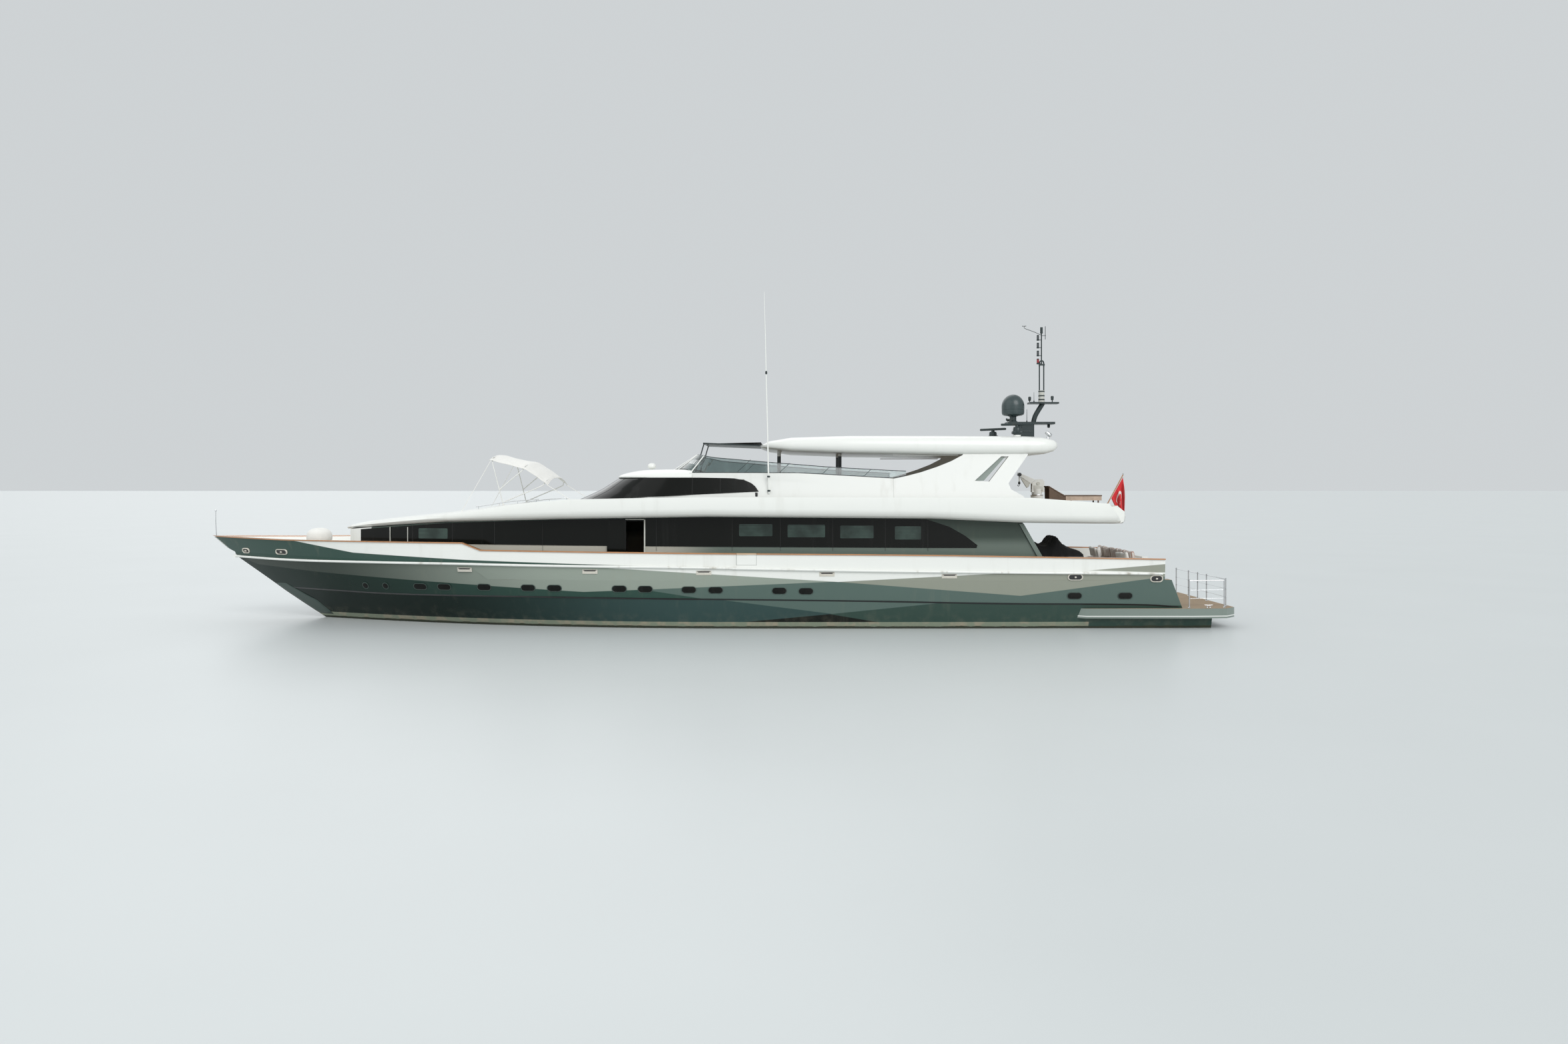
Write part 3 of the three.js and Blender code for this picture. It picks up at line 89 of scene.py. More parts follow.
def smooth(rows):
    """A row table read as one smooth curve through its rows."""
    last = len(rows) - 1
    slopes = []
    for i in range(len(rows)):
        (x0, v0), (x1, v1) = rows[max(i - 1, 0)], rows[min(i + 1, last)]
        slopes.append((v1 - v0) / (x1 - x0))

    def read(at):
        if at <= rows[0][0]:
            return rows[0][1]
        if at >= rows[last][0]:
            return rows[last][1]
        i = next(k for k, row in enumerate(rows) if at < row[0])
        (x0, v0), (x1, v1) = rows[i - 1], rows[i]
        span = x1 - x0
        t = (at - x0) / span
        start = slopes[i - 1] * span * t * (1 - t) ** 2
        end = slopes[i] * span * t * t * (1 - t)
        return v0 + (v1 - v0) * eased(t) + start - end
    return read


def eased(t):
    return t * t * (3 - 2 * t)


def spread(start, end, count):
    """Even places from start to end, both included."""
    return [start + (end - start) * k / (count - 1) for k in range(count)]


def around(count):
    """Even angles of one whole turn."""
    return [2 * math.pi * k / count for k in range(count)]


def rotation(degrees, axis, size=3):
    return Matrix.Rotation(math.radians(degrees), size, axis)


stem_at = straight([(z, x) for x, z in STEM])
knuckle_height = smooth(KNUCKLE)
rub_height = smooth(RUB)
widest = smooth(WIDEST)
fascia_low = straight(FASCIA_LOW)
deck_half = straight(DECK_HALF)
crown_height = smooth(CROWN)


def breadth(x, z):
    """Half breadth of the hull's skin at a place along it and a height."""
    lift = min(1.0, max(0.0, z / rub_height(0)))
    start = -1.5 + 3.0 * lift
    power = 1.9 + 0.6 * lift
    along = max(0.0, (x - start) / (stem_at(z) - start))
    astern = max(0.0, (-6.0 - x) / 12.4)
    return max(0.0, widest(z) * (1 - along ** power) * (1 - 0.07 * astern * astern))


def skin_point(x, z, side, proud=0.0):
    """A point on the hull's skin, or out of it."""
    step = 0.05
    along = (breadth(x + step, z) - breadth(x - step, z)) / (2 * step)
    up = (breadth(x, z + step) - breadth(x, z - step)) / (2 * step)
    out = Vector((-along, side, -up)).normalized()
    return Vector((x, side * breadth(x, z), z)) + proud * out


def lean_half(z):
    """Half breadth of the leaning sides of the wheelhouse and coaming at a height."""
    return 3.33 - (z - 4.69) * 0.3077


def foredeck_height(x):
    return 2.35 + 0.02 * (x - 8.4)


def coachroof_height(x, y):
    """Height of the coachroof, which is crowned across."""
    half, low, crown = deck_half(x), fascia_low(x), crown_height(x)
    share = min(1.0, max(0.0, (x - 4.6) / 3.2))
    edge = 4.62 + (low + 0.78 * (crown - low) - 4.62) * share
    shoulder = crown + 0.02 + (low + 0.93 * (crown - low) - crown - 0.02) * share
    return straight([(0.0, crown), (0.36 * half, low + 0.985 * (crown - low)),
                     (0.72 * half, shoulder), (half - 0.06, edge)])(abs(y))


# Mesh code

class Form:
    """One piece's mesh while it is put together from its parts."""

    def __init__(self, bm=None):
        self.bm = bm or bmesh.new()

    def face(self, verts, slot=0):
        kept = []
        for v in verts:
            if not kept or (v is not kept[-1] and (v.co - kept[-1].co).length > 1e-6):
                kept.append(v)
        if len(kept) > 2 and kept[0] is not kept[-1]:
            self.bm.faces.new(kept).material_index = slot

    def skin(self, rings, closed=True, slot=0, ends=True):
        """Faces between rings of points that all have the same number of points."""
        rows = [[self.bm.verts.new(p) for p in ring] for ring in rings]
        count = len(rows[0])
        for a, b in zip(rows, rows[1:]):
            for i in range(count if closed else count - 1):
                j = (i + 1) % count
                self.face((a[i], a[j], b[j], b[i]), slot)
        if closed and ends:
            self.face(rows[0], slot)
            self.face(rows[-1], slot)
        return rows

    def tube(self, points, radius, sides=10, slot=0):
        """A round tube along a run of points. The radius may be a list, one for each point."""
        path = [Vector(p) for p in points]
        sizes = radius if isinstance(radius, (list, tuple)) else [radius] * len(path)
        rings, across = [], None
        for i, p in enumerate(path):
            ahead = (path[min(i + 1, len(path) - 1)] - path[max(i - 1, 0)]).normalized()
            if across is None:
                across = ahead.orthogonal().normalized()
            across = (across - across.dot(ahead) * ahead).normalized()
            other = ahead.cross(across)
            rings.append([p + sizes[i] * (math.cos(a) * across + math.sin(a) * other)
                          for a in around(sides)])
        self.skin(rings, slot=slot)

    def turned(self, rows, place=(0, 0, 0), turn=None, sides=32, slot=0, capped=True):
        """A turned shape from (radius, height) rows about its own Z axis, closed at its ends."""
        frame_of = Matrix.Translation(Vector(place)) @ (turn.to_4x4() if turn else Matrix())
        rows = list(rows)
        if capped and rows[0][0]:
            rows.insert(0, (0.0, rows[0][1]))
        if capped and rows[-1][0] > 1e-6:
            rows.append((0.0, rows[-1][1]))
        self.skin([[frame_of @ Vector((r * math.cos(a), r * math.sin(a), h))
                    for a in around(sides)] for r, h in rows], slot=slot)

    def block(self, low, high, soft=0.01, steps=2, turn=None, slot=0):
        """A box with rounded edges, turned about its own middle."""
        low, high = Vector(low), Vector(high)
        size = high - low
        place = Matrix.Translation((low + high) / 2) @ (turn.to_4x4() if turn else Matrix())
        made = bmesh.ops.create_cube(self.bm, size=1.0,
                                     matrix=place @ Matrix.Diagonal((*size, 1.0)))
        verts = made["verts"]
        for f in {f for v in verts for f in v.link_faces}:
            f.material_index = slot
        edges = list({e for v in verts for e in v.link_edges})
        bmesh.ops.bevel(self.bm, geom=edges, offset=min(soft, 0.45 * min(size)), segments=steps,
                        profile=0.5, affect="EDGES", material=slot)

    def plate(self, outline, low, high, axis="y", soft=0.0, slot=0):
        """A plate with an outline in a plane across the axis, between two places along it."""
        def at(u, v, w):
            return {"x": (w, u, v), "y": (u, w, v)}[axis]
        levels = [(low, 0.0), (high, 0.0)]
        if soft:
            levels = [(low, soft), (low + soft, 0.0), (high - soft, 0.0), (high, soft)]
        middle = Vector((sum(p[0] for p in outline), sum(p[1] for p in outline))) / len(outline)
        rings = []
        for w, inset in levels:
            ring = []
            for p in outline:
                away = Vector(p) - middle
                kept = away * max(0.0, 1 - inset / max(away.length, 1e-6))
                ring.append(at(*(middle + kept), w))
            rings.append(ring)
        self.skin(rings, slot=slot)

    def mesh(self, name):
        """The plain mesh of what was put together."""
        mesh = bpy.data.meshes.new(name)
        self.bm.to_mesh(mesh)
        self.bm.free()
        return mesh

    def done(self, name, *finish_names, body="boat", slot=None, sharp=35.0, sheet=False):
        """The finished piece, riding on its body."""
        if not sheet:
            bmesh.ops.recalc_face_normals(self.bm, faces=self.bm.faces)
        mesh = self.mesh(name)
        mesh.shade_smooth()
        mesh.set_sharp_from_angle(angle=math.radians(sharp))
        for finish in finish_names:
            mesh.materials.append(finishes()[finish])
        piece = in_scene(name, mesh)
        if sheet:
            solid = piece.modifiers.new("Thickness", "SOLIDIFY")
            solid.thickness = sheet
            solid.offset = 0.0
        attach(piece, body)
        return piece


def in_scene(name, data):
    piece = bpy.data.objects.new(name, data)
    bpy.context.scene.collection.objects.link(piece)
    return piece


def rounded(points, steps=6):
    """A smooth run of points through a few given ones."""
    path = [Vector(p) for p in points]
    run = []
    for i in range(len(path) - 1):
        a, b = path[max(i - 1, 0)], path[i]
        c, d = path[i + 1], path[min(i + 2, len(path) - 1)]
        for k in range(steps):
            t = k / steps
            run.append(0.5 * (2 * b + (c - a) * t + (2 * a - 5 * b + 4 * c - d) * t * t
                              + (3 * b - a - 3 * c + d) * t ** 3))
    return run + [path[-1]]


def stadium(half_length, half_height, steps=8):
    """An oval outline with straight long sides, as (u, v) points."""
    reach = half_length - half_height
    points = []
    for side, start in ((1, -0.5 * math.pi), (-1, 0.5 * math.pi)):
        for a in spread(start, start + math.pi, steps + 1):
            points.append((side * reach + half_height * math.cos(a), half_height * math.sin(a)))
    return points


def oval(form, x, z, side, outline, rings, slot):
    """An outline on the hull's skin, raised in rings of (growth, proud)."""
    made = []
    for grow, proud in rings:
        ring = []
        for u, v in outline:
            scale = 1 + grow / max(math.hypot(u, v), 1e-6)
            ring.append(skin_point(x + u * scale, z + v * scale, side, proud))
        made.append(ring)
    form.skin(made, slot=slot)


def cleat(form, foot, length):
    """A mooring cleat with two legs and a pair of horns."""
    x, y, z = foot
    for dx in (-0.16 * length, 0.16 * length):
        form.turned([(0.035, 0.0), (0.03, 0.012), (0.016, 0.03), (0.015, 0.075)],
                    (x + dx, y, z), sides=14)
    shares = spread(-0.5, 0.5, 11)
    form.tube([(x + length * t, y, z + 0.078 + 0.07 * t * t) for t in shares],
              [0.006 + 0.011 * (1 - (2 * t) ** 4) for t in shares])


def applied(work):
    """A new mesh of a working object as its modifiers leave it."""
    seen = work.evaluated_get(bpy.context.evaluated_depsgraph_get())
    return bpy.data.meshes.new_from_object(seen)


def blown_up(work, fill):
    """The working object's mesh after its cloth was blown up."""
    frames = 20
    puff = work.modifiers.new("Cloth", "CLOTH")
    settings = puff.settings
    settings.quality = 5
    settings.mass = 0.4
    settings.tension_stiffness = settings.compression_stiffness = 40
    settings.bending_stiffness = 1.2
    settings.effector_weights.gravity = 0.0
    settings.use_pressure = True
    settings.uniform_pressure_force = 5.0 * fill
    puff.point_cache.frame_start, puff.point_cache.frame_end = 1, frames
    for number in range(1, frames + 1):
        bpy.context.scene.frame_set(number)
    blown = applied(work)
    bpy.context.scene.frame_set(1)
    return blown


def stuffed(name, size, fill):
    """Mesh of a stuffed cushion about its own middle, with a piped seam round it."""
    half = Vector(size) / 2
    form = Form()
    form.block(-half, half, soft=0.3 * min(size), steps=4)
    work = in_scene(name, form.mesh(name))
    even = work.modifiers.new("Even", "REMESH")
    even.mode = "VOXEL"
    even.voxel_size = max(0.022, min(size) / 5)
    work.data = applied(work)
    work.modifiers.clear()
    home = [v.co.copy() for v in work.data.vertices]
    blown = blown_up(work, fill)
    bpy.data.objects.remove(work)
    cap = 0.3 * min(size)
    for vertex, start in zip(blown.vertices, home):
        move = vertex.co - start
        if move.length > cap:
            move *= cap / move.length
        vertex.co = start + move

    shape = bmesh.new()
    shape.from_mesh(blown)
    low = [min(v.co[i] for v in shape.verts) for i in range(3)]
    high = [max(v.co[i] for v in shape.verts) for i in range(3)]
    thin = min(range(3), key=lambda i: size[i])
    u, v = [i for i in range(3) if i != thin]
    for vert in shape.verts:
        for i in range(3):
            grow = 1.12 if i == thin else 1.0
            vert.co[i] = ((vert.co[i] - low[i]) / (high[i] - low[i]) - 0.5) * size[i] * grow
        a, b = vert.co[u] / (size[u] / 2), vert.co[v] / (size[v] / 2)
        vert.co[thin] *= 1 + 0.018 * math.sin(9 * a + 4 * b) * math.sin(7 * b - 3 * a)
    tree = BVHTree.FromBMesh(shape)
    run = []
    for a in around(72) + [2 * math.pi]:
        aim = Vector((0, 0, 0))
        aim[u], aim[v] = size[u] * math.cos(a), size[v] * math.sin(a)
        hit = tree.ray_cast(Vector((0, 0, 0)), aim.normalized())[0]
        if hit is not None:
            run.append(hit)
    form = Form(shape)
    form.tube(run, 0.006, sides=6)
    bmesh.ops.recalc_face_normals(shape, faces=shape.faces)
    shape.to_mesh(blown)
    shape.free()
    blown.shade_smooth()
    return blown


def cushions(name, size, fill, places, finish):
    """Stuffed cushions at (place, turn in degrees) places, each a little different."""
    mesh = stuffed(name, size, fill)
    made = []
    for number, (place, turn) in enumerate(places, start=1):
        piece = in_scene(f"{name}_{number}", mesh.copy())
        turned = Matrix.Translation(Vector(place))
        for angle, axis in zip(turn, "XYZ"):
            turned = turned @ rotation(angle, axis, 4)
        slack = Matrix.Diagonal((1, 1, 1 + 0.03 * math.sin(2.3 * number), 1))
        piece.data.transform(turned @ slack)
        piece.data.materials.append(finishes()[finish])
        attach(piece, "boat")
        made.append(piece)
    return made


# Materials

def rgba(colour):
    return (*colour[:3], 1.0)


def dark(colour, share):
    return tuple(share * c for c in colour[:3])


class Value:
    """A node's output, so that sums of outputs can be written plainly."""

    def __init__(self, nodes, socket):
        self.nodes, self.socket = nodes, socket

    def math(self, operation, *others):
        return self.nodes.math(operation, self, *others)

    def __add__(self, other):
        return self.math("ADD", other)

    def __sub__(self, other):
        return self.math("SUBTRACT", other)

    def __rsub__(self, other):
        return self.nodes.math("SUBTRACT", other, self)

    def __mul__(self, other):
        return self.math("MULTIPLY", other)

    def __truediv__(self, other):
        return self.math("DIVIDE", other)

    def __lt__(self, other):
        return self.math("LESS_THAN", other)

    def __gt__(self, other):
        return self.math("GREATER_THAN", other)

    def __abs__(self):
        return self.math("ABSOLUTE")

    def step(self, low, high):
        """0 below low, 1 above high, and smooth between them."""
        return self.nodes.read("MapRange", {"Value": self, "From Min": low, "From Max": high},
                               interpolation_type="SMOOTHSTEP")

    def mix(self, first, second):
        """A colour between two colours, with this as the share of the second."""
        return self.nodes.read("Mix", {0: self, 6: first, 7: second}, 2, data_type="RGBA",
                               blend_type="MIX")

    def shade(self, colour, low, high):
        """A colour between two brightnesses as this goes from 0 to 1."""
        return self.mix(dark(colour, low), dark(colour, high))


class Nodes:
    """The nodes of a material or of a shared effect."""

    def __init__(self, tree):
        self.tree = tree

    def put(self, socket, value):
        if isinstance(value, Value):
            self.tree.links.new(value.socket, socket)
        else:
            socket.default_value = rgba(value) if socket.type == "RGBA" else value

    def node(self, kind, inputs=(), **settings):
        node = self.tree.nodes.new("ShaderNode" + kind)
        for key, value in settings.items():
            setattr(node, key, value)
        for key, value in dict(inputs).items():
            self.put(node.inputs[key], value)
        return node

    def read(self, kind, inputs=(), output=0, **settings):
        return Value(self, self.node(kind, inputs, **settings).outputs[output])

    def math(self, operation, *values):
        return self.read("Math", dict(enumerate(values)), operation=operation)

    def place(self):
        return self.read("TexCoord", output="Object")

    def split(self, vector):
        parts = self.node("SeparateXYZ", {0: vector}).outputs
        return [Value(self, part) for part in parts]

    def facing(self, axis):
        """How far the surface faces along an axis."""
        return self.split(self.read("NewGeometry", output="Normal"))["XYZ".index(axis)]

    def noise(self, scale, detail, vector=None, **inputs):
        given = {"Vector": vector or self.place(), "Scale": scale, "Detail": detail, **inputs}
        return self.read("TexNoise", given, "Fac")

    def scaled(self, place, scale):
        return self.read("Mapping", {"Vector": place, "Scale": scale})

    def effect(self, name, **inputs):
        """One of the shared effects, placed here with its own values."""
        title = name.replace("_", " ").title()
        tree = bpy.data.node_groups.get(title) or shared_effect(title, *EFFECTS[name])
        node = self.tree.nodes.new("ShaderNodeGroup")
        node.node_tree = tree
        for key, value in inputs.items():
            node.inputs[key].default_value = value
        return {out.name: Value(self, out) for out in node.outputs}


def shared_effect(title, build, inputs, outputs):
    """A shader group with named inputs and outputs."""
    tree = bpy.data.node_groups.new(title, "ShaderNodeTree")
    for label, value in inputs.items():
        socket = tree.interface.new_socket(label, in_out="INPUT", socket_type="NodeSocketFloat")
        socket.default_value = value
    for label in outputs:
        tree.interface.new_socket(label, in_out="OUTPUT", socket_type="NodeSocketFloat")
    nodes = Nodes(tree)
    start = tree.nodes.new("NodeGroupInput")
    end = tree.nodes.new("NodeGroupOutput")
    made = build(nodes, {label: Value(nodes, start.outputs[label]) for label in inputs})
    for label, value in zip(outputs, made):
        nodes.put(end.inputs[label], value)
    return tree


def weathering(nodes, given):
    """Grime that runs down in streaks, and a faint cloudiness of the paint."""
    place = nodes.place()
    run = nodes.noise(1.0, 4.0, nodes.scaled(place, (3.2, 3.2, 0.3))).step(0.52, 0.78)
    here = nodes.noise(0.35, 3.0, place).step(0.38, 0.66)
    cloud = nodes.noise(0.8, 2.0, place) - 0.5
    return run * here * given["Streaks"], cloud * given["Cloudiness"]


def planking(nodes, given):
    """Planks along the boat with dark seams between them."""
    place = nodes.place()
    x, y, _ = nodes.split(place)
    across = y / given["Plank Width"]
    row = across.math("FLOOR")
    middle = abs(across.math("FRACT") - 0.5)
    seam = middle > 0.5 - given["Seam Width"] / given["Plank Width"] * 0.5
    board = (x / 2.4 + row * 0.37).math("FLOOR")
    pair = nodes.read("CombineXYZ", {"X": board, "Y": row})
    tone = nodes.read("TexWhiteNoise", {"Vector": pair}, "Value")
    grain = nodes.noise(1.0, 4.0, nodes.scaled(place, (2.0, 60.0, 20.0)))
    return grain.math("MULTIPLY_ADD", 0.5, tone * 0.5), seam


def weave(nodes, given):
    """Threads over and under each other, with slight changes of tone."""
    place = nodes.place()
    waves = [nodes.read("TexWave", {"Vector": place, "Scale": given["Threads"],
                                    "Distortion": 1.2, "Detail": 1.0}, "Fac",
                        wave_type="BANDS", bands_direction=axis) for axis in "XYZ"]
    threads = (waves[0] * waves[1]).math("MAXIMUM", waves[2])
    uneven = (nodes.noise(7.0, 6.0, place) - 0.5) * given["Slub"]
    return threads.math("MULTIPLY_ADD", 0.12, uneven), threads


def wood_grain(nodes, given):
    """Long grain of one piece of wood."""
    x, y, z = nodes.split(nodes.place())
    stretched = nodes.read("CombineXYZ", {
        "X": x * given["Along X"], "Y": y * given["Across"], "Z": z * given["Across"]})
    grain = nodes.noise(1.0, 6.0, stretched, Distortion=0.4)
    return grain, grain


def fairing(nodes, given):
    """Slow waves of a hand-faired surface, which make its reflections run."""
    return (nodes.noise(given["Waves"], 2.0),)


EFFECTS = {
    "weathering": (weathering, {"Streaks": 1.0, "Cloudiness": 1.0}, ("Grime", "Cloud")),
    "planking": (planking, {"Plank Width": 0.11, "Seam Width": 0.012}, ("Tone", "Seam")),
    "weave": (weave, {"Threads": 90.0, "Slub": 0.5}, ("Tone", "Height")),
    "wood_grain": (wood_grain, {"Along X": 1.5, "Across": 45.0}, ("Tone", "Height")),
    "fairing": (fairing, {"Waves": 0.6}, ("Height",)),
}


class Finish(Nodes):
    """A material while it is put together."""

    def __init__(self, name, **inputs):
        self.material = bpy.data.materials.new(name)
        self.material.use_nodes = True
        super().__init__(self.material.node_tree)
        self.inputs = self.tree.nodes["Principled BSDF"].inputs
        for key, value in inputs.items():
            self.inputs[key.replace("_", " ")].default_value = value

    def done(self, base, rough=None, bump=None):
        """The material with its colour, roughness (mask, low, high) and bump (height,
        strength, distance)."""
        self.put(self.inputs["Base Color"], base)
        if rough:
            given = dict(zip(("Value", "To Min", "To Max"), rough))
            self.put(self.inputs["Roughness"], self.read("MapRange", given))
        if bump:
            given = dict(zip(("Height", "Strength", "Distance"), bump))
            self.put(self.inputs["Normal"], self.read("Bump", given))
        return self.material

    def planks(self, paint, low=0.7, high=1.3):
        """Colour of weathered teak planks with dark caulking."""
        planks = self.effect("planking")
        wood = planks["Tone"].shade(paint.deck_teak, low, high)
        return planks["Seam"].mix(wood, paint.caulk)


GLOSS = {"Coat_Weight": 0.15, "Coat_Roughness": 0.1, "Specular_IOR_Level": 0.35}
WAVE_HEIGHT = 0.03


def inside(x, z, outline, closed=True, soft=0.012):
    """1 inside a convex outline of (x, z) points, listed with its inside on the left."""
    nearest = None
    ends = outline[1:] + (outline[:1] if closed else [])
    for (x0, z0), (x1, z1) in zip(outline, ends):
        length = math.hypot(x1 - x0, z1 - z0)
        a, b = -(z1 - z0) / length, (x1 - x0) / length
        away = z.math("MULTIPLY_ADD", b, x.math("MULTIPLY_ADD", a, -(a * x0 + b * z0)))
        nearest = away if nearest is None else nearest.math("MINIMUM", away)
    return nearest.step(-soft, soft)


def line_height(x, rows, top=4.0):
    """Height of a line of the boat at x, from its (x, z) rows."""
    first, last = rows[0][0], rows[-1][0]
    share = x.nodes.read("MapRange", {"Value": x, "From Min": first, "From Max": last})
    node = x.nodes.node("FloatCurve", {"Value": share})
    curve = node.mapping.curves[0]
    curve.points[0].location = (0.0, rows[0][1] / top)
    curve.points[1].location = (1.0, rows[-1][1] / top)
    for px, pz in rows[1:-1]:
        curve.points.new((px - first) / (last - first), pz / top)
    node.mapping.update()
    return Value(x.nodes, node.outputs[0]) * top


# Colour panels painted on the topsides, as (colour, convex outline in x and z, closed) from
# the first painted to the last
UPPER_PANELS = [
    ("mid_grey", [(-19.0, 0.8), (-0.6, 1.02), (2.5, 1.5), (2.5, 2.6), (-19.0, 2.6)], True),
    ("light_grey", [(-12.0, 2.009), (-4.647, 1.697), (4.123, 1.325), (14.451, 1.872),
                    (17.349, 2.085), (18.1, 2.35)], False),
    ("warm_grey", [(-4.95, 1.697), (-10.6, 1.99), (-17.4, 2.1), (-17.2, 1.95),
                   (-11.449, 1.19)], True),
    ("white", [(-12.0, 2.067), (-4.95, 1.697), (4.5, 2.27)], False),
]
LOWER_PANELS = [
    ("slate", [(-4.7, 0.54), (-9.3, 0.99), (-19.5, 1.2), (-19.5, -0.5), (-4.7, -0.5)], True),
    ("mid_grey", [(-0.1, 1.14), (-9.9, 1.07), (-4.75, 0.541)], True),
    ("black", [(-1.2, 0.2), (-4.66, 0.53), (-6.5, 0.22)], True),
]
BULWARK_PANELS = [
    ("white", [(2.0, 2.265), (5.78, 2.378), (8.34, 2.454), (12.77, 2.66), (16.1, 3.19)], False),
    ("warm_grey", [(-13.9, 2.1), (-16.75, 2.33), (-17.2, 2.0)], True),
]


def topside_colour(paint, x, z):
    """Colours of the side: its painted panels up to the rub rail and the bulwarks above it, with
    painted shade that darkens the panels below the rub rail towards the bow, under its flare.
    """
    levels = []
    # Each level's last item is painted shade under the bow's flare as (start x, end x, share),
    # and None for the bulwarks
    for ground, panels, shade in (
            (paint.teal, UPPER_PANELS, (4.5, 15.0, 0.85)),
            (paint.navy, LOWER_PANELS, (0.5, 10.5, 0.95)),
            (paint.teal, BULWARK_PANELS, None)):
        for colour, outline, closed in panels:
            mask = inside(x, z, outline, closed)
            ground = mask.mix(ground, getattr(paint, colour))
        # Painted shade: the colour fades towards the bow into the bow's painted shade colour
        if shade:
            start, end, share = shade
            ground = (x.step(start, end) * share).mix(ground, paint.bow_shade)
        levels.append(ground)
    upper, lower, bulwark = levels
    above = (z - line_height(x, KNUCKLE)).step(-0.008, 0.008)
    topmost = (z - line_height(x, RUB)).step(-0.01, 0.01)
    return topmost.mix(above.mix(lower, upper), bulwark)


def hull_paint(paint):
    """Topsides in their painted panels with painted shade under the bow's flare, boot stripe,
    worn antifouling below, teak on top.
    """
    hull = Finish("hull_paint", Coat_Weight=0.1, Coat_Roughness=0.1, Specular_IOR_Level=0.2)
    place = hull.place()
    x, _, z = hull.split(place)
    dirt = hull.effect("weathering", Streaks=0.07)["Grime"]
    colour = dirt.mix(topside_colour(paint, x, z), paint.grime)
    scum = hull.noise(3.0, 6.0, place)
    splash = z.step(0.75, 0.2) * scum.step(0.42, 0.75) * 0.1
    colour = splash.mix(colour, paint.grime)
    stripe = (z < 0.24) * x.step(-13.96, -13.92)
    colour = stripe.mix(colour, scum.step(0.4, 0.7).mix(paint.boot_stripe, paint.grime))
    wet = (scum.math("MULTIPLY_ADD", 0.09, 0.045) - z).step(-0.004, 0.012)
    colour = wet.mix(colour, scum.mix(paint.antifouling, paint.weed))
    deck = hull.facing("Z").step(0.8, 0.9) * z.step(0.75, 0.8)
    colour = deck.mix(colour, hull.planks(paint, 0.75, 1.25))
    waves = hull.effect("fairing", Waves=0.5)["Height"] * (1.0 - deck)
    return hull.done(colour, (wet.math("MAXIMUM", deck), 0.2, 0.7), (waves, 0.25, WAVE_HEIGHT))


def bulwark_paint(paint, name="bulwark_paint", rail=None):
    """The side's colours outside and white inside, with worn varnish above a rail's height."""
    side = Finish(name, Coat_Weight=0.15, Coat_Roughness=0.1, Specular_IOR_Level=0.3)
    x, y, z = side.split(side.place())
    inward = (side.facing("Y") * y).step(0.05, 0.0)
    colour = inward.mix(topside_colour(paint, x, z), paint.white)
    dirt = side.effect("weathering", Streaks=0.14)["Grime"]
    colour = dirt.mix(colour, paint.grime)
    if rail:
        wood = side.effect("wood_grain")["Tone"].shade(paint.worn_varnish, 0.7, 1.3)
        colour = (z > rail).mix(colour, wood)
    waves = side.effect("fairing", Waves=0.5)["Height"]
    return side.done(colour, (dirt, 0.22, 0.5), (waves, 0.2, WAVE_HEIGHT))


def gelcoat(name, colour, grime, streaks=0.35, rough=0.28):
    """Sprayed and polished paint with faint streaks of dirt."""
    coat = Finish(name, **GLOSS)
    weather = coat.effect("weathering", Streaks=streaks, Cloudiness=0.12)
    base = weather["Grime"].mix((weather["Cloud"] + 0.5).shade(colour, 0.94, 1.06), grime)
    waves = coat.effect("fairing", Waves=0.9)["Height"]
    return coat.done(base, (weather["Grime"], rough, rough + 0.25), (waves, 0.15, 0.02))


def house_paint(paint):
    """Dark grey side, darker above the deck as painted shadow of the overhang and lighter grey
    near the deck, and pale below the glazing forward of amidships as a painted sky reflection.
    """
    side = Finish("house_paint", **GLOSS)
    x, _, z = side.split(side.place())
    dirt = side.effect("weathering", Streaks=0.2)["Grime"]
    # Painted sky reflection: the lower side is pale forward of amidships
    lower = x.step(-1.0, 1.6).mix(paint.house_grey, paint.house_pale)
    # Painted shadow of the overhang: the side is darker above z 3.3 than near the deck
    base = dirt.mix(z.step(3.3, 2.9).mix(paint.silver, lower), paint.grime)
    return side.done(base, (dirt, 0.35, 0.6))


def hardtop_paint(paint):
    """White hardtop, with dark posts below it and dark pedestals on top."""
    top = Finish("hardtop_paint", **GLOSS)
    z = top.split(top.place())[2]
    dirt = top.effect("weathering", Streaks=0.12)["Grime"]
    posts, pedestals = z < 6.235, z > 7.03
    base = posts.math("MAXIMUM", pedestals).mix(dirt.mix(paint.white, paint.grime),
                                                paint.mast_grey)
    return top.done(base, (dirt, 0.28, 0.5))


def upper_deck_paint(paint):
    """White upper deck with teak where it is walked on."""
    top = Finish("upper_deck_paint", **{**GLOSS, "Coat_Roughness": 0.12})
    z = top.split(top.place())[2]
    dirt = top.effect("weathering", Streaks=0.12)["Grime"]
    deck = top.facing("Z").step(0.9, 0.97) * (z < 4.36)
    base = deck.mix(dirt.mix(paint.white, paint.grime), top.planks(paint))
    return top.done(base, (deck, 0.28, 0.65))


def platform_paint(paint):
    """Grey moulded platform with teak on top and grey posts."""
    step = Finish("platform_paint", Specular_IOR_Level=0.3)
    z = step.split(step.place())[2]
    dirt = step.effect("weathering", Streaks=0.4)["Grime"]
    base = dirt.mix(paint.platform, dark(paint.platform, 0.5))
    deck = step.facing("Z").step(0.9, 0.97) * (z < 0.74)
    base = deck.mix(base, step.planks(paint, 0.75, 1.25))
    return step.done((z > 0.745).mix(base, (0.4, 0.41, 0.42)), (deck, 0.3, 0.65))


def varnished_teak(paint):
    """Varnished teak of the caprails."""
    rail = Finish("varnished_teak", Roughness=0.25, Coat_Weight=0.7, Coat_Roughness=0.06)
    grain = rail.effect("wood_grain")
    return rail.done(grain["Tone"].shade(paint.varnish, 0.6, 1.5),
                     bump=(grain["Height"], 0.2, 0.002))


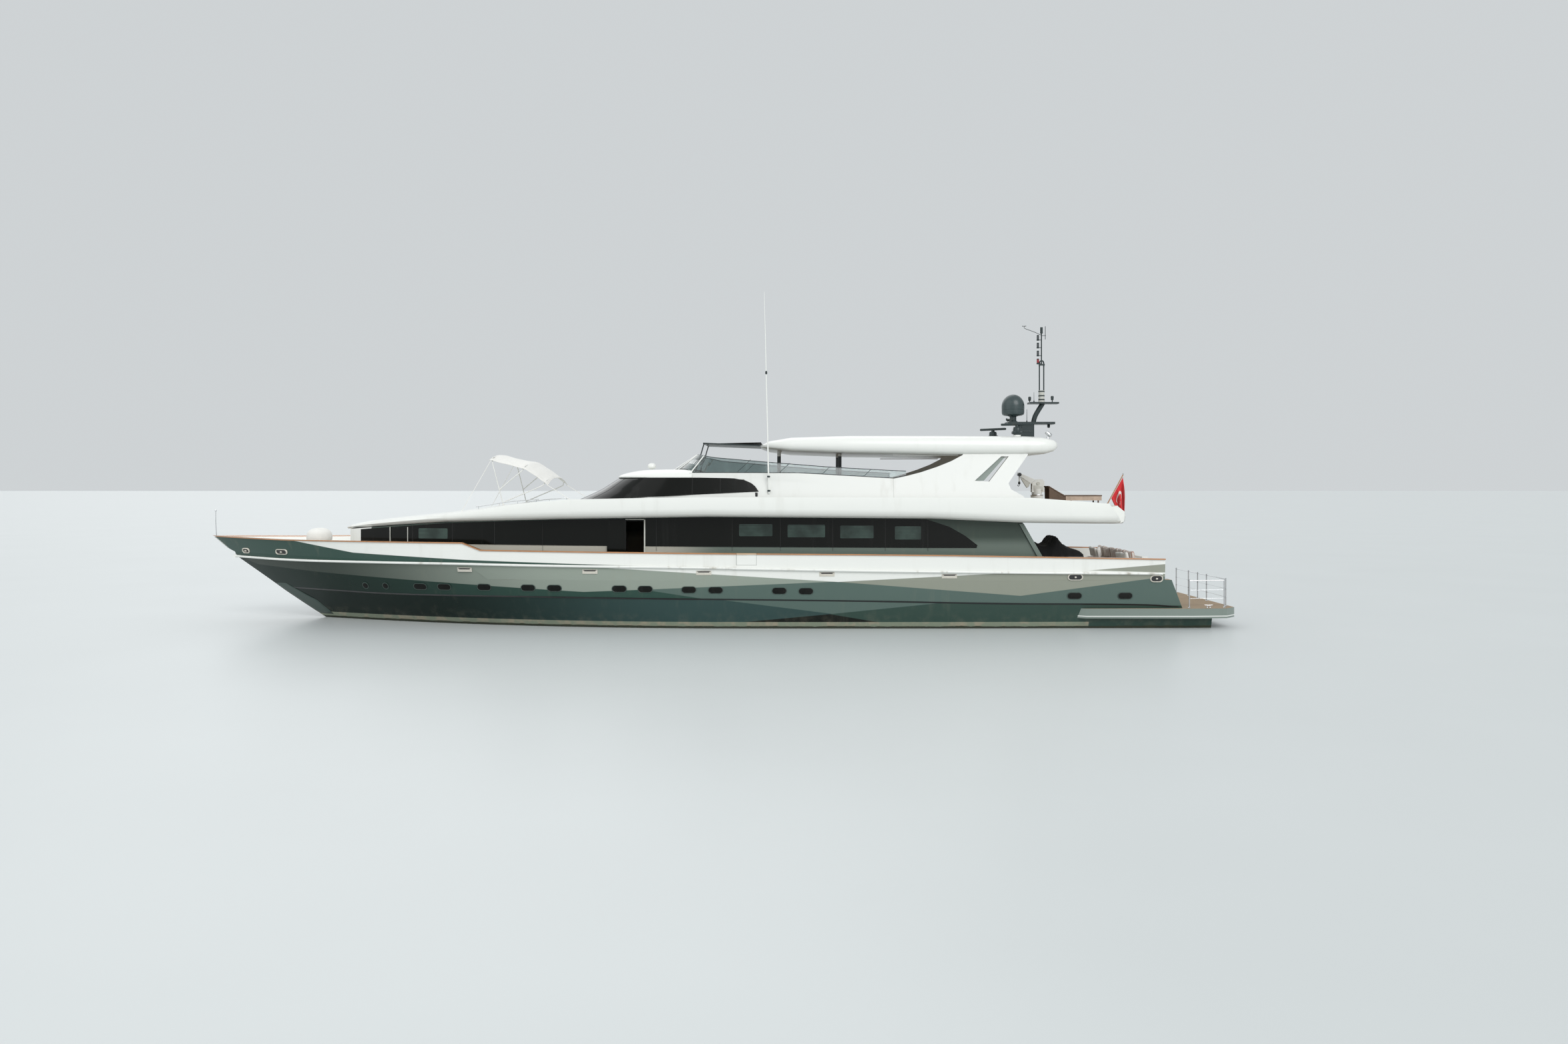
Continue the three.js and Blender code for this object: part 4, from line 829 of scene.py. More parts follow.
def smoked_glass(name, colour):
    """Dark window glass that lets a little light through."""
    glass = Finish(name, Roughness=0.03, Transmission_Weight=1.0, IOR=1.5)
    dust = glass.effect("weathering", Streaks=0.5)["Grime"]
    return glass.done(dust.mix(colour, [min(1.0, 1.5 * c + 0.02) for c in colour]))


def black_glass(paint):
    """Black glazing, opaque from outside, with salt dried on it in faint runs."""
    glass = Finish("black_glass", Specular_IOR_Level=0.2)
    dust = glass.effect("weathering", Streaks=0.4, Cloudiness=0.4)
    base = (dust["Cloud"] + 0.5).shade(paint.glass, 0.6, 1.4)
    base = dust["Grime"].mix(base, [c + 0.02 for c in paint.glass])
    return glass.done(base, (dust["Grime"], 0.13, 0.3))


def pane_glass():
    """A window pane with closed slatted blinds painted on it: dark gaps between the slats, and
    painted light that brightens each slat towards its top and in patches.
    """
    pane = Finish("pane_glass", Specular_IOR_Level=0.4)
    place = pane.place()
    slat = (pane.split(place)[2] / 0.05).math("FRACT")
    patch = pane.noise(1.4, 4.0, place)
    # Painted light on the blinds: each slat is dark at its foot, lighter towards its top, and
    # lighter in patches
    painted_slat_light = slat.step(0.15, 0.55) * patch.step(0.35, 0.7)
    return pane.done(painted_slat_light.mix((0.014, 0.026, 0.021), (0.05, 0.085, 0.07)), (patch, 0.06, 0.16))


def ensign_cloth(paint):
    """Red bunting with the white crescent and star, drawn in the cloth's own flat place."""
    flag = Finish("ensign_bunting", Roughness=0.8, Sheen_Weight=0.3)
    u, v, _ = flag.split(flag.read("Attribute", output="Vector", attribute_name="flat"))
    along, up = u * 1.5, v - 0.5

    def distance(centre):
        offset = along - centre
        return (offset * offset + up * up).math("POWER", 0.5)

    crescent = (distance(0.5) < 0.25) * (distance(0.5625) > 0.2)
    star_at, reach, fifth = 0.81, 0.125, 2 * math.pi / 5
    low = 0.382 * reach
    normal_x, normal_y = low * math.sin(fifth / 2), reach - low * math.cos(fifth / 2)
    turn = abs(up.math("ARCTAN2", star_at - along).math("WRAP", fifth / 2, -fifth / 2))
    side = turn.math("COSINE") * normal_x + turn.math("SINE") * normal_y
    star = distance(star_at) * side < reach * normal_x
    threads = flag.effect("weave", Threads=120.0, Slub=0.3)
    red = (threads["Tone"] + 0.5).shade(paint.ensign, 0.75, 1.2)
    base = crescent.math("MAXIMUM", star).mix(red, (0.75, 0.73, 0.7))
    return flag.done(base, bump=(threads["Height"], 0.2, 0.001))


def steel():
    """Polished stainless steel with fine scratches."""
    metal = Finish("stainless_steel", Metallic=1.0)
    noise = metal.noise(14.0, 6.0)
    return metal.done(noise.shade((0.62, 0.63, 0.64), 0.75, 1.2), (noise, 0.12, 0.32))


def bronze(paint):
    """Cast bronze, dull and slightly green from the sea."""
    metal = Finish("cast_bronze", Metallic=1.0)
    noise = metal.noise(6.0, 8.0)
    patina = noise.step(0.5, 0.7)
    return metal.done(patina.mix(paint.bronze, paint.verdigris), (patina, 0.3, 0.6),
                      (noise, 0.3, 0.004))


def cloth(name, colour, threads, slub=0.5, sheen=0.3, rough=0.85, contrast=0.45):
    """Woven cloth."""
    goods = Finish(name, Roughness=rough, Sheen_Weight=sheen)
    woven = goods.effect("weave", Threads=threads, Slub=slub)
    return goods.done((woven["Tone"] + 0.5).shade(colour, 1 - contrast, 1 + contrast),
                      bump=(woven["Height"], 0.35, 0.002))


def striped_cloth(name, ground, stripe, pitch, share=0.3):
    """Upholstery with woven stripes that run fore and aft."""
    goods = Finish(name, Roughness=0.85, Sheen_Weight=0.3)
    y = goods.split(goods.place())[1]
    woven = goods.effect("weave", Threads=80.0, Slub=0.4)
    base = ((y / pitch).math("FRACT") < share).mix(ground, stripe)
    base = woven["Tone"].math("MULTIPLY_ADD", 0.5, 0.1).mix(base, dark(ground, 0.6))
    return goods.done(base, bump=(woven["Height"], 0.35, 0.002))


def moulded(name, colour, rough):
    """Moulded plastic with a fine texture."""
    shell = Finish(name, Coat_Weight=0.1)
    noise = shell.noise(25.0, 4.0)
    return shell.done(noise.shade(colour, 0.85, 1.15), (noise, rough - 0.08, rough + 0.1),
                      (noise, 0.15, 0.001))


FINISHES = {}


def finishes():
    """Every finish of the boat, made once."""
    if FINISHES:
        return FINISHES
    paint = bpy.context.scene.yacht_paint
    FINISHES.update({
        "hull": hull_paint(paint),
        "bulwark": bulwark_paint(paint),
        "gate": bulwark_paint(paint, "gate_paint", rail=2.672),
        "hardtop": hardtop_paint(paint),
        "upper_deck": upper_deck_paint(paint),
        "house": house_paint(paint),
        "platform": platform_paint(paint),
        "varnish": varnished_teak(paint),
        "black_glass": black_glass(paint),
        "pane": pane_glass(),
        "screen": smoked_glass("tinted_screen", (0.42, 0.49, 0.485)),
        "ensign": ensign_cloth(paint),
        "striped": striped_cloth("striped_upholstery", (0.74, 0.69, 0.63), (0.36, 0.17, 0.13),
                                 pitch=0.11),
        "steel": steel(),
        "bronze": bronze(paint),
    })
    for key, name, colour, streaks, rough in (
            ("white", "white_gelcoat", paint.white, 0.12, 0.28),
            ("rail", "rub_rail_paint", paint.white, 0.9, 0.35),
            # Painted shade: a darker copy of the white for the wings and the wheelhouse wall,
            # which the light falls on most strongly
            ("painted_shade_white", "painted_shade_white", dark(paint.white, 0.86), 0.2, 0.28),
            ("silver_trim", "silver_trim", (0.16, 0.2, 0.175), 0.2, 0.35),
            ("slate", "slate_paint", paint.mast_grey, 0.25, 0.4),
            ("crane_paint", "crane_paint", (0.73, 0.735, 0.7), 0.3, 0.4)):
        FINISHES[key] = gelcoat(name, colour, paint.grime, streaks, rough)
    for key, name, colour, rough in (
            ("bright_plate", "bright_plate", (0.6, 0.57, 0.5), 0.3),
            ("dark_plate", "dark_plate", (0.035, 0.06, 0.05), 0.35),
            ("dome", "dome_moulding", dark(paint.mast_grey, 1.6), 0.35),
            ("bright_tube", "white_coated_tube", (0.7, 0.7, 0.67), 0.35),
            ("dark_trim", "dark_trim", (0.012, 0.013, 0.014), 0.35),
            ("pale_trim", "pale_trim", (0.55, 0.55, 0.5), 0.4),
            ("rubber", "black_rubber", (0.02, 0.02, 0.02), 0.7),
            ("red_lens", "red_lens", (0.25, 0.015, 0.02), 0.15),
            ("clear_lens", "clear_lens", (0.75, 0.76, 0.72), 0.15),
            ("dark_lens", "dark_lens", (0.05, 0.055, 0.06), 0.15)):
        FINISHES[key] = moulded(name, colour, rough)
    wicker = {"threads": 12.0, "slub": 0.8, "sheen": 0.0, "rough": 0.6}
    for key, name, colour, weaving in (
            ("canvas", "white_canvas", paint.canvas, {"threads": 70.0, "contrast": 0.14}),
            ("dark_cloth", "dark_canvas", (0.014, 0.015, 0.017),
             {"threads": 70.0, "sheen": 0.15}),
            ("upholstery", "cream_upholstery", (0.6, 0.57, 0.5),
             {"threads": 80.0, "contrast": 0.2}),
            ("wicker", "brown_wicker", (0.11, 0.07, 0.045), wicker),
            ("pale_wicker", "pale_wicker", (0.46, 0.36, 0.28), wicker)):
        FINISHES[key] = cloth(name, colour, **weaving)
    return FINISHES


def dress(finish, *nodes, sharp=35.0):
    """Give CAD nodes their finish, with smooth faces between their sharp edges."""
    for node in nodes:
        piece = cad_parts[node]
        mesh = piece.data
        if "custom_normal" in mesh.attributes:
            mesh.attributes.remove(mesh.attributes["custom_normal"])
        mesh.shade_smooth()
        if not mesh.materials:
            mesh.materials.append(None)
        mesh.materials[0] = finishes()[finish]
        piece.modifiers.new("Weld", "WELD").merge_threshold = 0.0002
        piece.modifiers.new("Edges", "EDGE_SPLIT").split_angle = math.radians(sharp)


class YachtPaint(bpy.types.PropertyGroup):
    """Colours of the boat's paint and materials."""


class YachtStage(bpy.types.PropertyGroup):
    """Where the boat is looked at from, and the floor under it."""


for key, label, meaning, value in (
        ("white", "White", "Topsides, house and upper works", (0.79, 0.8, 0.765)),
        ("light_grey", "Light grey", "Long band under the rub rail", (0.28, 0.32, 0.275)),
        ("warm_grey", "Warm grey", "Panel on the quarter", (0.27, 0.285, 0.235)),
        ("mid_grey", "Mid grey", "After topsides", (0.088, 0.132, 0.116)),
        ("slate", "Slate", "Lower topsides aft", (0.03, 0.06, 0.048)),
        ("teal", "Dark teal", "Bow and the band under the light one", (0.028, 0.066, 0.052)),
        ("navy", "Dark slate", "Lower topsides forward", (0.031, 0.063, 0.06)),
        # Painted shade under the bow's flare, which the topsides fade to
        ("bow_shade", "Bow shade", "What the topsides fade to under the bow's flare",
         (0.001, 0.008, 0.005)),
        ("black", "Black", "Flat triangle above the boot stripe", (0.004, 0.006, 0.004)),
        ("boot_stripe", "Boot stripe", "Stripe just above the water", (0.2, 0.23, 0.17)),
        ("antifouling", "Antifouling", "Bottom paint", (0.02, 0.022, 0.02)),
        ("weed", "Weed", "Growth along the waterline", (0.05, 0.06, 0.035)),
        ("grime", "Grime", "Dirt that runs down the paint", (0.3, 0.27, 0.2)),
        # The house side's colours hold painted light: silver is its painted shadow under the
        # overhang, house_grey the side lighter near the deck, and the pale colour a painted sky
        # reflection forward
        ("silver", "Silver", "House side aft of the glass", (0.034, 0.055, 0.041)),
        ("house_grey", "House grey", "House side just above the deck", (0.125, 0.16, 0.135)),
        ("house_pale", "House pale", "The same, forward of amidships", (0.44, 0.42, 0.36)),
        ("platform", "Platform grey", "Moulding of the bathing platform", (0.2, 0.24, 0.215)),
        ("mast_grey", "Mast grey", "Mast, dome and radars", (0.022, 0.034, 0.035)),
        ("glass", "Glass", "Black glazing", (0.004, 0.0045, 0.0035)),
        ("deck_teak", "Deck teak", "Teak that is walked on", (0.33, 0.24, 0.15)),
        ("caulk", "Caulking", "Seams between planks", (0.03, 0.03, 0.03)),
        ("varnish", "Varnish", "Caprails and ensign staff", (0.4, 0.19, 0.08)),
        ("worn_varnish", "Worn varnish", "Caprail of the boarding gates", (0.6, 0.4, 0.25)),
        ("canvas", "Canvas", "Bimini and foredeck cover", (0.78, 0.77, 0.73)),
        ("ensign", "Ensign", "Ground of the ensign", (0.62, 0.02, 0.025)),
        ("bronze", "Bronze", "Propellers and rudders", (0.45, 0.27, 0.11)),
        ("verdigris", "Verdigris", "Green on the bronze", (0.16, 0.2, 0.13))):
    YachtPaint.__annotations__[key] = bpy.props.FloatVectorProperty(
        name=label, description=meaning, default=value, size=3, min=0.0, max=1.0,
        subtype="COLOR")

for key, label, meaning, value in (
        ("distance", "Distance", "From the centreline to the camera", 42.4),
        ("height", "Height", "Of the camera above the water", 5.05),
        ("abeam", "Place along", "Where along the boat the camera stands", -3.03),
        ("floor", "Floor", "Width of the floor", 3000.0)):
    YachtStage.__annotations__[key] = bpy.props.FloatProperty(
        name=label, description=meaning, default=value, unit="LENGTH")


class Piece(bpy.types.Operator):
    """What every operator of the boat shares."""

    bl_options = {"REGISTER"}

    def execute(self, context):
        self.make()
        return {"FINISHED"}


class YACHT_OT_stage(Piece):
    """Pale floor at the waterline, soft light and the camera abeam."""

    bl_idname = "yacht.stage"
    bl_label = "Stage"

    FRAME_WIDTH, FOCAL_PIXELS, RISE_PIXELS = 2355.0, 1633.0, 52.0
    SENSOR = 36.0
    SUNS = [("key", (57, 0, 203), 1.6, 40.0), ("fill", (62, 0, 120), 0.5, 60.0),
            ("back", (50, 0, 20), 0.6, 60.0)]

    def make(self):
        scene = bpy.context.scene
        setup = scene.yacht_stage
        lens = bpy.data.cameras.new("camera")
        lens.sensor_width = self.SENSOR
        lens.lens = self.SENSOR * self.FOCAL_PIXELS / self.FRAME_WIDTH
        lens.shift_y = -self.RISE_PIXELS / self.FRAME_WIDTH
        lens.clip_end = 5000.0
        camera = in_scene("camera", lens)
        camera.location = (setup.abeam, setup.distance, setup.height)
        camera.rotation_euler = (math.radians(90.0), 0.0, math.radians(180.0))
        scene.camera = camera

        half = setup.floor / 2
        form = Form()
        form.skin([[(-half, -half, 0), (half, -half, 0)], [(-half, half, 0), (half, half, 0)]],
                  closed=False)
        ground = in_scene("floor", form.mesh("floor"))
        pale = Finish("pale_floor", Roughness=0.35)
        tone = pale.noise(0.15, 3.0)
        ground.data.materials.append(pale.done(tone.shade((0.6, 0.63, 0.63), 0.97, 1.03)))

        world = bpy.data.worlds.new("soft_sky")
        world.use_nodes = True
        sky = world.node_tree.nodes["Background"].inputs
        sky["Color"].default_value = (0.86, 0.9, 0.92, 1.0)
        sky["Strength"].default_value = 0.72
        scene.world = world
        scene.view_settings.view_transform = "Standard"
        for name, turn, strength, size in self.SUNS:
            light = bpy.data.lights.new(name, "SUN")
            light.energy = strength
            light.angle = math.radians(size)
            in_scene(name, light).rotation_euler = [math.radians(a) for a in turn]


class YACHT_OT_hull(Piece):
    """Paint of the hull, bulwarks and rub rail, and a near-black lip along the knuckle, coloured
    as painted shadow under it.
    """

    bl_idname = "yacht.hull"
    bl_label = "Hull and bulwarks"

    def make(self):
        dress("hull", "hull", sharp=30)
        dress("bulwark", "bow_bulwark", "side_bulwark_port", "side_bulwark_starboard", sharp=30)
        dress("gate", "boarding_gate_port", "boarding_gate_starboard", sharp=30)
        dress("varnish", "caprail_forward", "caprail_aft_port", "caprail_aft_starboard",
              sharp=40)
        dress("rail", "rub_rail", sharp=40)
        # A lip along the knuckle, near black as painted shadow under the crease
        for name, side in SIDES:
            rings = []
            for x in spread(-17.15, 16.4, 90):
                z = knuckle_height(x)
                fade = min(1.0, (16.45 - x) / 2.0, (x + 17.2) / 0.3)
                rings.append([skin_point(x, z + up, side, proud) for up, proud in (
                    (0.01, -0.004), (-0.004, 0.026 * fade), (-0.016, 0.02 * fade),
                    (-0.05, -0.004))])
            knuckle = Form()
            knuckle.skin(rings)
            knuckle.done(f"knuckle_lip_painted_shadow_{name}", "dark_trim", slot="hull_paint")


class YACHT_OT_hull_fittings(Piece):
    """Portholes, freeing ports, fairleads, the stem's chafe plate and the jackstaff."""

    bl_idname = "yacht.hull_fittings"
    bl_label = "Hull fittings"

    ROUND = [(12.554, 1.393), (11.7, 1.407)]
    OVAL = [(10.275, 1.422), (9.321, 1.433), (7.777, 1.452), (6.132, 1.452), (5.167, 1.45),
            (2.825, 1.442), (1.899, 1.433), (0.349, 1.411), (-0.6, 1.399), (-2.862, 1.375),
            (-3.81, 1.363), (-13.379, 1.185), (-15.198, 1.18)]
    PORTS = [(8.421, 2.1), (3.852, 2.06), (-0.188, 2.02), (-4.551, 1.97), (-8.895, 1.9)]
    # Fairleads as (x, z, half length, half height)
    FAIRLEADS = [(17.7, 2.62, 0.15, 0.075), (15.94, 2.62, 0.24, 0.08),
                 (-13.38, 1.86, 0.24, 0.09), (-16.3, 1.8, 0.2, 0.1)]
    # Rings of each fitting as (growth of its outline, proud of the skin)
    FRAME = [(0.018, -0.01), (0.018, 0.005), (0.01, 0.01), (0.0, 0.01), (-0.01, 0.003)]
    PANE = [(-0.004, -0.01), (-0.004, 0.004), (-0.02, 0.006)]
    LIP = [(0.04, -0.01), (0.04, 0.02), (0.02, 0.04), (0.0, 0.035), (-0.01, 0.0)]
    MOUTH = [(-0.005, -0.01), (-0.005, 0.008), (-0.03, 0.008)]

    def make(self):
        for name, side in SIDES:
            portholes = Form()
            for places, half_length, half_height in ((self.ROUND, 0.115, 0.114),
                                                     (self.OVAL, 0.255, 0.112)):
                outline = stadium(half_length, half_height)
                for x, z in places:
                    oval(portholes, x, z, side, outline, self.FRAME, 0)
                    oval(portholes, x, z, side, outline, self.PANE, 1)
            portholes.done(f"portholes_{name}", "dark_plate", "black_glass")

            plates = Form()
            plate = [(-0.25, -0.07), (0.25, -0.07), (0.25, 0.07), (-0.25, 0.07)]
            slit = [(-0.2, 0.02), (0.2, 0.02), (0.2, 0.045), (-0.2, 0.045)]
            for x, z in self.PORTS:
                oval(plates, x, z, side, plate, [(0.02, -0.01), (0.02, 0.008), (0.0, 0.014)], 0)
                oval(plates, x, z, side, slit, [(0.0, 0.008), (0.0, 0.017), (-0.01, 0.018)], 1)
                plates.tube([skin_point(x + u, z + 0.06, side, 0.016)
                             for u in (-0.24, -0.1, 0.1, 0.24)], 0.009, sides=6, slot=1)
            plates.done(f"freeing_ports_{name}", "bright_plate", "dark_trim")

            fairleads = Form()
            for x, z, half_length, half_height in self.FAIRLEADS:
                outline = stadium(half_length, half_height, steps=6)
                oval(fairleads, x, z, side, outline, self.LIP, 0)
                oval(fairleads, x, z, side, outline, self.MOUTH, 1)
                fairleads.tube([skin_point(x + u, z, side, 0.03) for u in (-0.03, 0.03)], 0.03,
                               sides=8)
            fairleads.done(f"fairleads_{name}", "bright_plate", "dark_trim")

            # The chafe plate is painted dark in place of bright steel: a painted reflection of
            # the dark water under the bow's flare
            chafe = Form()
            rings = []
            for z in spread(0.16, 1.35, 12):
                wide = 0.9 - 0.5 * abs(z - 0.7)
                rings.append([skin_point(stem_at(z) - wide * t - 0.02, z, side, 0.006)
                              for t in spread(0.05, 1.0, 8)])
            chafe.skin(rings, closed=False)
            chafe.done(f"chafe_plate_{name}", "dark_plate", slot="stainless_steel", sheet=0.01)

        jackstaff = Form()
        jackstaff.tube([(19.1, 0, 3.17), (19.13, 0, 3.7), (19.13, 0, 4.12)],
                       [0.016, 0.013, 0.01])
        jackstaff.turned([(0.05, 0.0), (0.05, 0.015), (0.02, 0.03), (0.018, 0.06)],
                         (19.1, 0, 3.165), sides=16)
        jackstaff.turned([(0.0, 0.0), (0.03, 0.02), (0.035, 0.045), (0.02, 0.08), (0.0, 0.09)],
                         (19.13, 0, 4.1), sides=16)
        jackstaff.done("jackstaff", "steel")


class YACHT_OT_house(Piece):
    """House sides, front and bulkhead, glazing with its panes, doors and their frames."""

    bl_idname = "yacht.house"
    bl_label = "Deckhouse"

    SIDE_HALF = 2.95
    FACE = 2.962  # just outside the glazing's face
    PANES = [(-8.0, -7.05), (-6.28, -5.07), (-4.52, -3.16), (-2.61, -1.4), (9.35, 10.5)]
    SEAMS = (-8.25, -6.7, -4.8, -2.9, -1.15, 1.6, 5.75, 7.55, 9.17, 10.75)
    STRIP_FOOT, STRIP_LEAN = (-12.85, 1.765), 0.571

    def glass_face(self, x):
        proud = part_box("house_glass_port")[1].y - self.SIDE_HALF
        return min(self.SIDE_HALF, breadth(min(x, 13.15), 2.3) - 0.95) + proud

    def make(self):
        dress("house", "house_wall_port", "house_wall_starboard", sharp=25)
        dress("white", "house_front", sharp=25)
        dress("white", "saloon_bulkhead")
        dress("black_glass", *(f"{node}_{name}" for name, _ in SIDES for node in (
            "house_glass", "side_door", "fore_door", "saloon_door")), sharp=25)
        for name, side in SIDES:
            panes = Form()
            for x0, x1 in self.PANES:
                middle = 0.5 * (x0 + x1)
                foot, top = 3.16, 3.54
                if middle < 5:
                    foot = 3.28 + 0.0218 * (middle + 2)
                    top = 3.72 + 0.0145 * (middle + 2)
                rings = []
                for u, v in self.soft_corners(x1 - x0, top - foot):
                    x, z = middle + u, 0.5 * (top + foot) + v
                    y = side * self.glass_face(x)
                    rings.append([(x, y - 0.004 * side, z), (x, y + 0.0025 * side, z)])
                rows = panes.skin(rings + rings[:1], closed=False)
                panes.face([row[1] for row in rows[:-1]])
            panes.done(f"window_panes_{name}", "pane")

            trims = Form()
            y = side * self.FACE
            for low, high in (((2.0, 1.78), (2.05, 3.9)), ((2.0, 3.872), (2.72, 3.9))):
                trims.block((low[0], y - 0.014, low[1]), (high[0], y + 0.014, high[1]),
                            soft=0.005, slot=1)
            for x in (10.938, 11.662):
                y = side * self.glass_face(x)
                trims.block((x - 0.013, y - 0.012, 2.49), (x + 0.013, y + 0.012, 3.575),
                            soft=0.004, slot=1)
            foot, low = self.STRIP_FOOT
            head = foot + self.STRIP_LEAN * (3.73 - low)
            trims.plate([(foot + 0.19, 1.77), (foot, 1.77), (head, 3.73), (head + 0.17, 3.73)],
                        side * 2.945, side * 2.966, soft=0.004)
            trims.done(f"house_trim_{name}", "silver_trim", "pale_trim")

            seams = Form()
            for x in self.SEAMS:
                y = side * self.glass_face(x)
                foot = 2.75 if x < 7.5 else 2.95
                seams.block((x - 0.005, y - 0.003, foot),
                            (x + 0.005, y + 0.001, fascia_low(x) - 0.05), soft=0.001, steps=1)
            seams.done(f"glass_seams_{name}", "rubber")

    def soft_corners(self, wide, high, radius=0.04, steps=4):
        """Outline of a pane with rounded corners, as (along, up) points."""
        points = []
        for corner, (su, sv) in enumerate(((1, 1), (-1, 1), (-1, -1), (1, -1))):
            for a in spread(0.5 * math.pi * corner, 0.5 * math.pi * (corner + 1), steps + 1):
                points.append((su * (wide / 2 - radius) + radius * math.cos(a),
                               sv * (high / 2 - radius) + radius * math.sin(a)))
        return points


def front_point(s, z, nose, half, share, bend, aft):
    """A point of a rounded front at a height, from s = -1 aft to port, round the front, to 1.

    The middle share of s goes round from bend to the nose. The rest runs straight aft.
    """
    side = -1 if s > 0 else 1
    if abs(s) > share:
        return Vector((bend + (aft - bend) * (abs(s) - share) / (1 - share), side * half, z))
    a = 0.5 * math.pi * (1 - abs(s) / share)
    return Vector((bend + (nose - bend) * math.sin(a) ** 0.75,
                   side * half * math.cos(a) ** 0.75, z))


class YACHT_OT_upper_works(Piece):
    """Upper deck, coachroof, wheelhouse, windscreen, hardtop and wings."""

    bl_idname = "yacht.upper_works"
    bl_label = "Upper works"

    # The windscreen's top edge and foot as (x, z), and its foot on the roof as (y, z)
    SCREEN_TOP = [(-7.5, 5.63), (-6.1, 5.7), (-4.55, 5.79), (-2.43, 5.96), (-0.46, 6.13),
                  (0.0, 6.22), (0.3, 6.28)]
    COAMING = [(-7.45, 5.475), (-6.97, 5.374), (-3.57, 5.568), (0.4, 5.578)]
    ROOF = [(0.0, 5.718), (2.41, 5.718), (2.88, 5.643), (3.06, 5.563)]
    SCREEN_SHARE, SCREEN_BEND, SCREEN_AFT = 0.4, -0.6, -7.45
    SCREEN_THICK = 0.012
    JOINTS = (-5.9, -4.4, -2.85, -1.3)

    # The wheelhouse glazing's edges as (x, z), and its nose as (z, x)
    GLASS_TOP = [(-2.12, 4.9), (-1.95, 5.15), (-1.65, 5.3), (-1.2, 5.38), (0.0, 5.404),
                 (6.0, 5.404)]
    GLASS_FOOT = [(-2.12, 4.9), (4.99, 4.56), (6.0, 4.56)]
    NOSE = [(4.2, 5.689), (4.95, 3.998), (5.7, 2.8)]
    NOSE_SHARE, NOSE_BEND = 0.6, 0.3
    GLASS_AFT, GLASS_PROUD = -2.12, 0.02
    SEAMS = (0.0, 0.25, -0.25, 0.6042, -0.6042, 0.7708, -0.7708)
    # The roof's rings as (z, x of the nose, how far it stands out past the side)
    ROOF_AFT = 0.402
    ROOF_RINGS = [(5.4, 3.26, -0.01), (5.405, 3.31, 0.02), (5.425, 3.335, 0.034),
                  (5.46, 3.33, 0.032), (5.51, 3.25, 0.015), (5.56, 3.12, -0.02),
                  (5.6, 2.97, -0.08), (5.64, 2.8, -0.17), (5.675, 2.6, -0.3),
                  (5.7, 2.4, -0.45), (5.713, 2.15, -0.62), (5.715, 1.9, -0.85)]

    def screen_point(self, s, z, inset=0.0):
        nose = 1.2 - (z - 5.7) * 1.55 - inset
        return front_point(s, z, nose, lean_half(z) - 0.045 - inset, self.SCREEN_SHARE,
                           self.SCREEN_BEND, self.SCREEN_AFT)

    def screen_edges(self, s):
        """Heights of the windscreen's foot and of its top at s."""
        foot, top = 5.6, 6.0
        coaming, roof = straight(self.COAMING), straight(self.ROOF)
        line = straight(self.SCREEN_TOP)
        for _ in range(12):
            low, high = self.screen_point(s, foot), self.screen_point(s, top)
            foot = coaming(low.x) if low.x < 0.4 else roof(abs(low.y))
            top = line(high.x)
        return foot, top

    def screen_post(self, s):
        """Foot and head of an upright of the windscreen at s."""
        return [self.screen_point(s, z) for z in self.screen_edges(s)]

    def glass_rows(self, s, proud):
        """Points up the wheelhouse glazing at s, from its foot to its top."""
        nose = straight(self.NOSE)
        over, under = straight(self.GLASS_TOP), straight(self.GLASS_FOOT)

        def at(z, out):
            return front_point(s, z, nose(z) + out, lean_half(z) + out, self.NOSE_SHARE,
                               self.NOSE_BEND, self.GLASS_AFT)

        foot, top = 4.8, 5.3
        for _ in range(12):
            foot = under(at(foot, self.GLASS_PROUD).x)
            top = over(at(top, self.GLASS_PROUD).x)
        return [at(z, proud) for z in spread(foot, top, 9)]

    def wheelhouse(self):
        glass = Form()
        glass.skin([self.glass_rows(s, self.GLASS_PROUD) + self.glass_rows(s, 0.008)[::-1]
                    for s in spread(-1.0, 1.0, 97)])
        piece = glass.done("wheelhouse_glazing", "black_glass", sharp=50)
        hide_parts("wheelhouse_glass")
        seams = Form()
        for s in self.SEAMS:
            seams.tube(self.glass_rows(s, self.GLASS_PROUD), 0.006, sides=6)
        seams.done("wheelhouse_glass_seams", "rubber")

        roof = Form()
        rings = []
        for z, nose, grow in self.ROOF_RINGS:
            half = lean_half(z) + grow
            ring = [front_point(s, z, nose, half, self.NOSE_SHARE, self.NOSE_BEND, self.ROOF_AFT)
                    for s in spread(-0.62, 0.62, 63)]
            rings.append([Vector((self.ROOF_AFT, half, z)), *ring,
                          Vector((self.ROOF_AFT, -half, z))])
        roof.skin(rings)
        piece = roof.done("wheelhouse_roof_shell", "white", sharp=50)
        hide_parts("wheelhouse_roof")

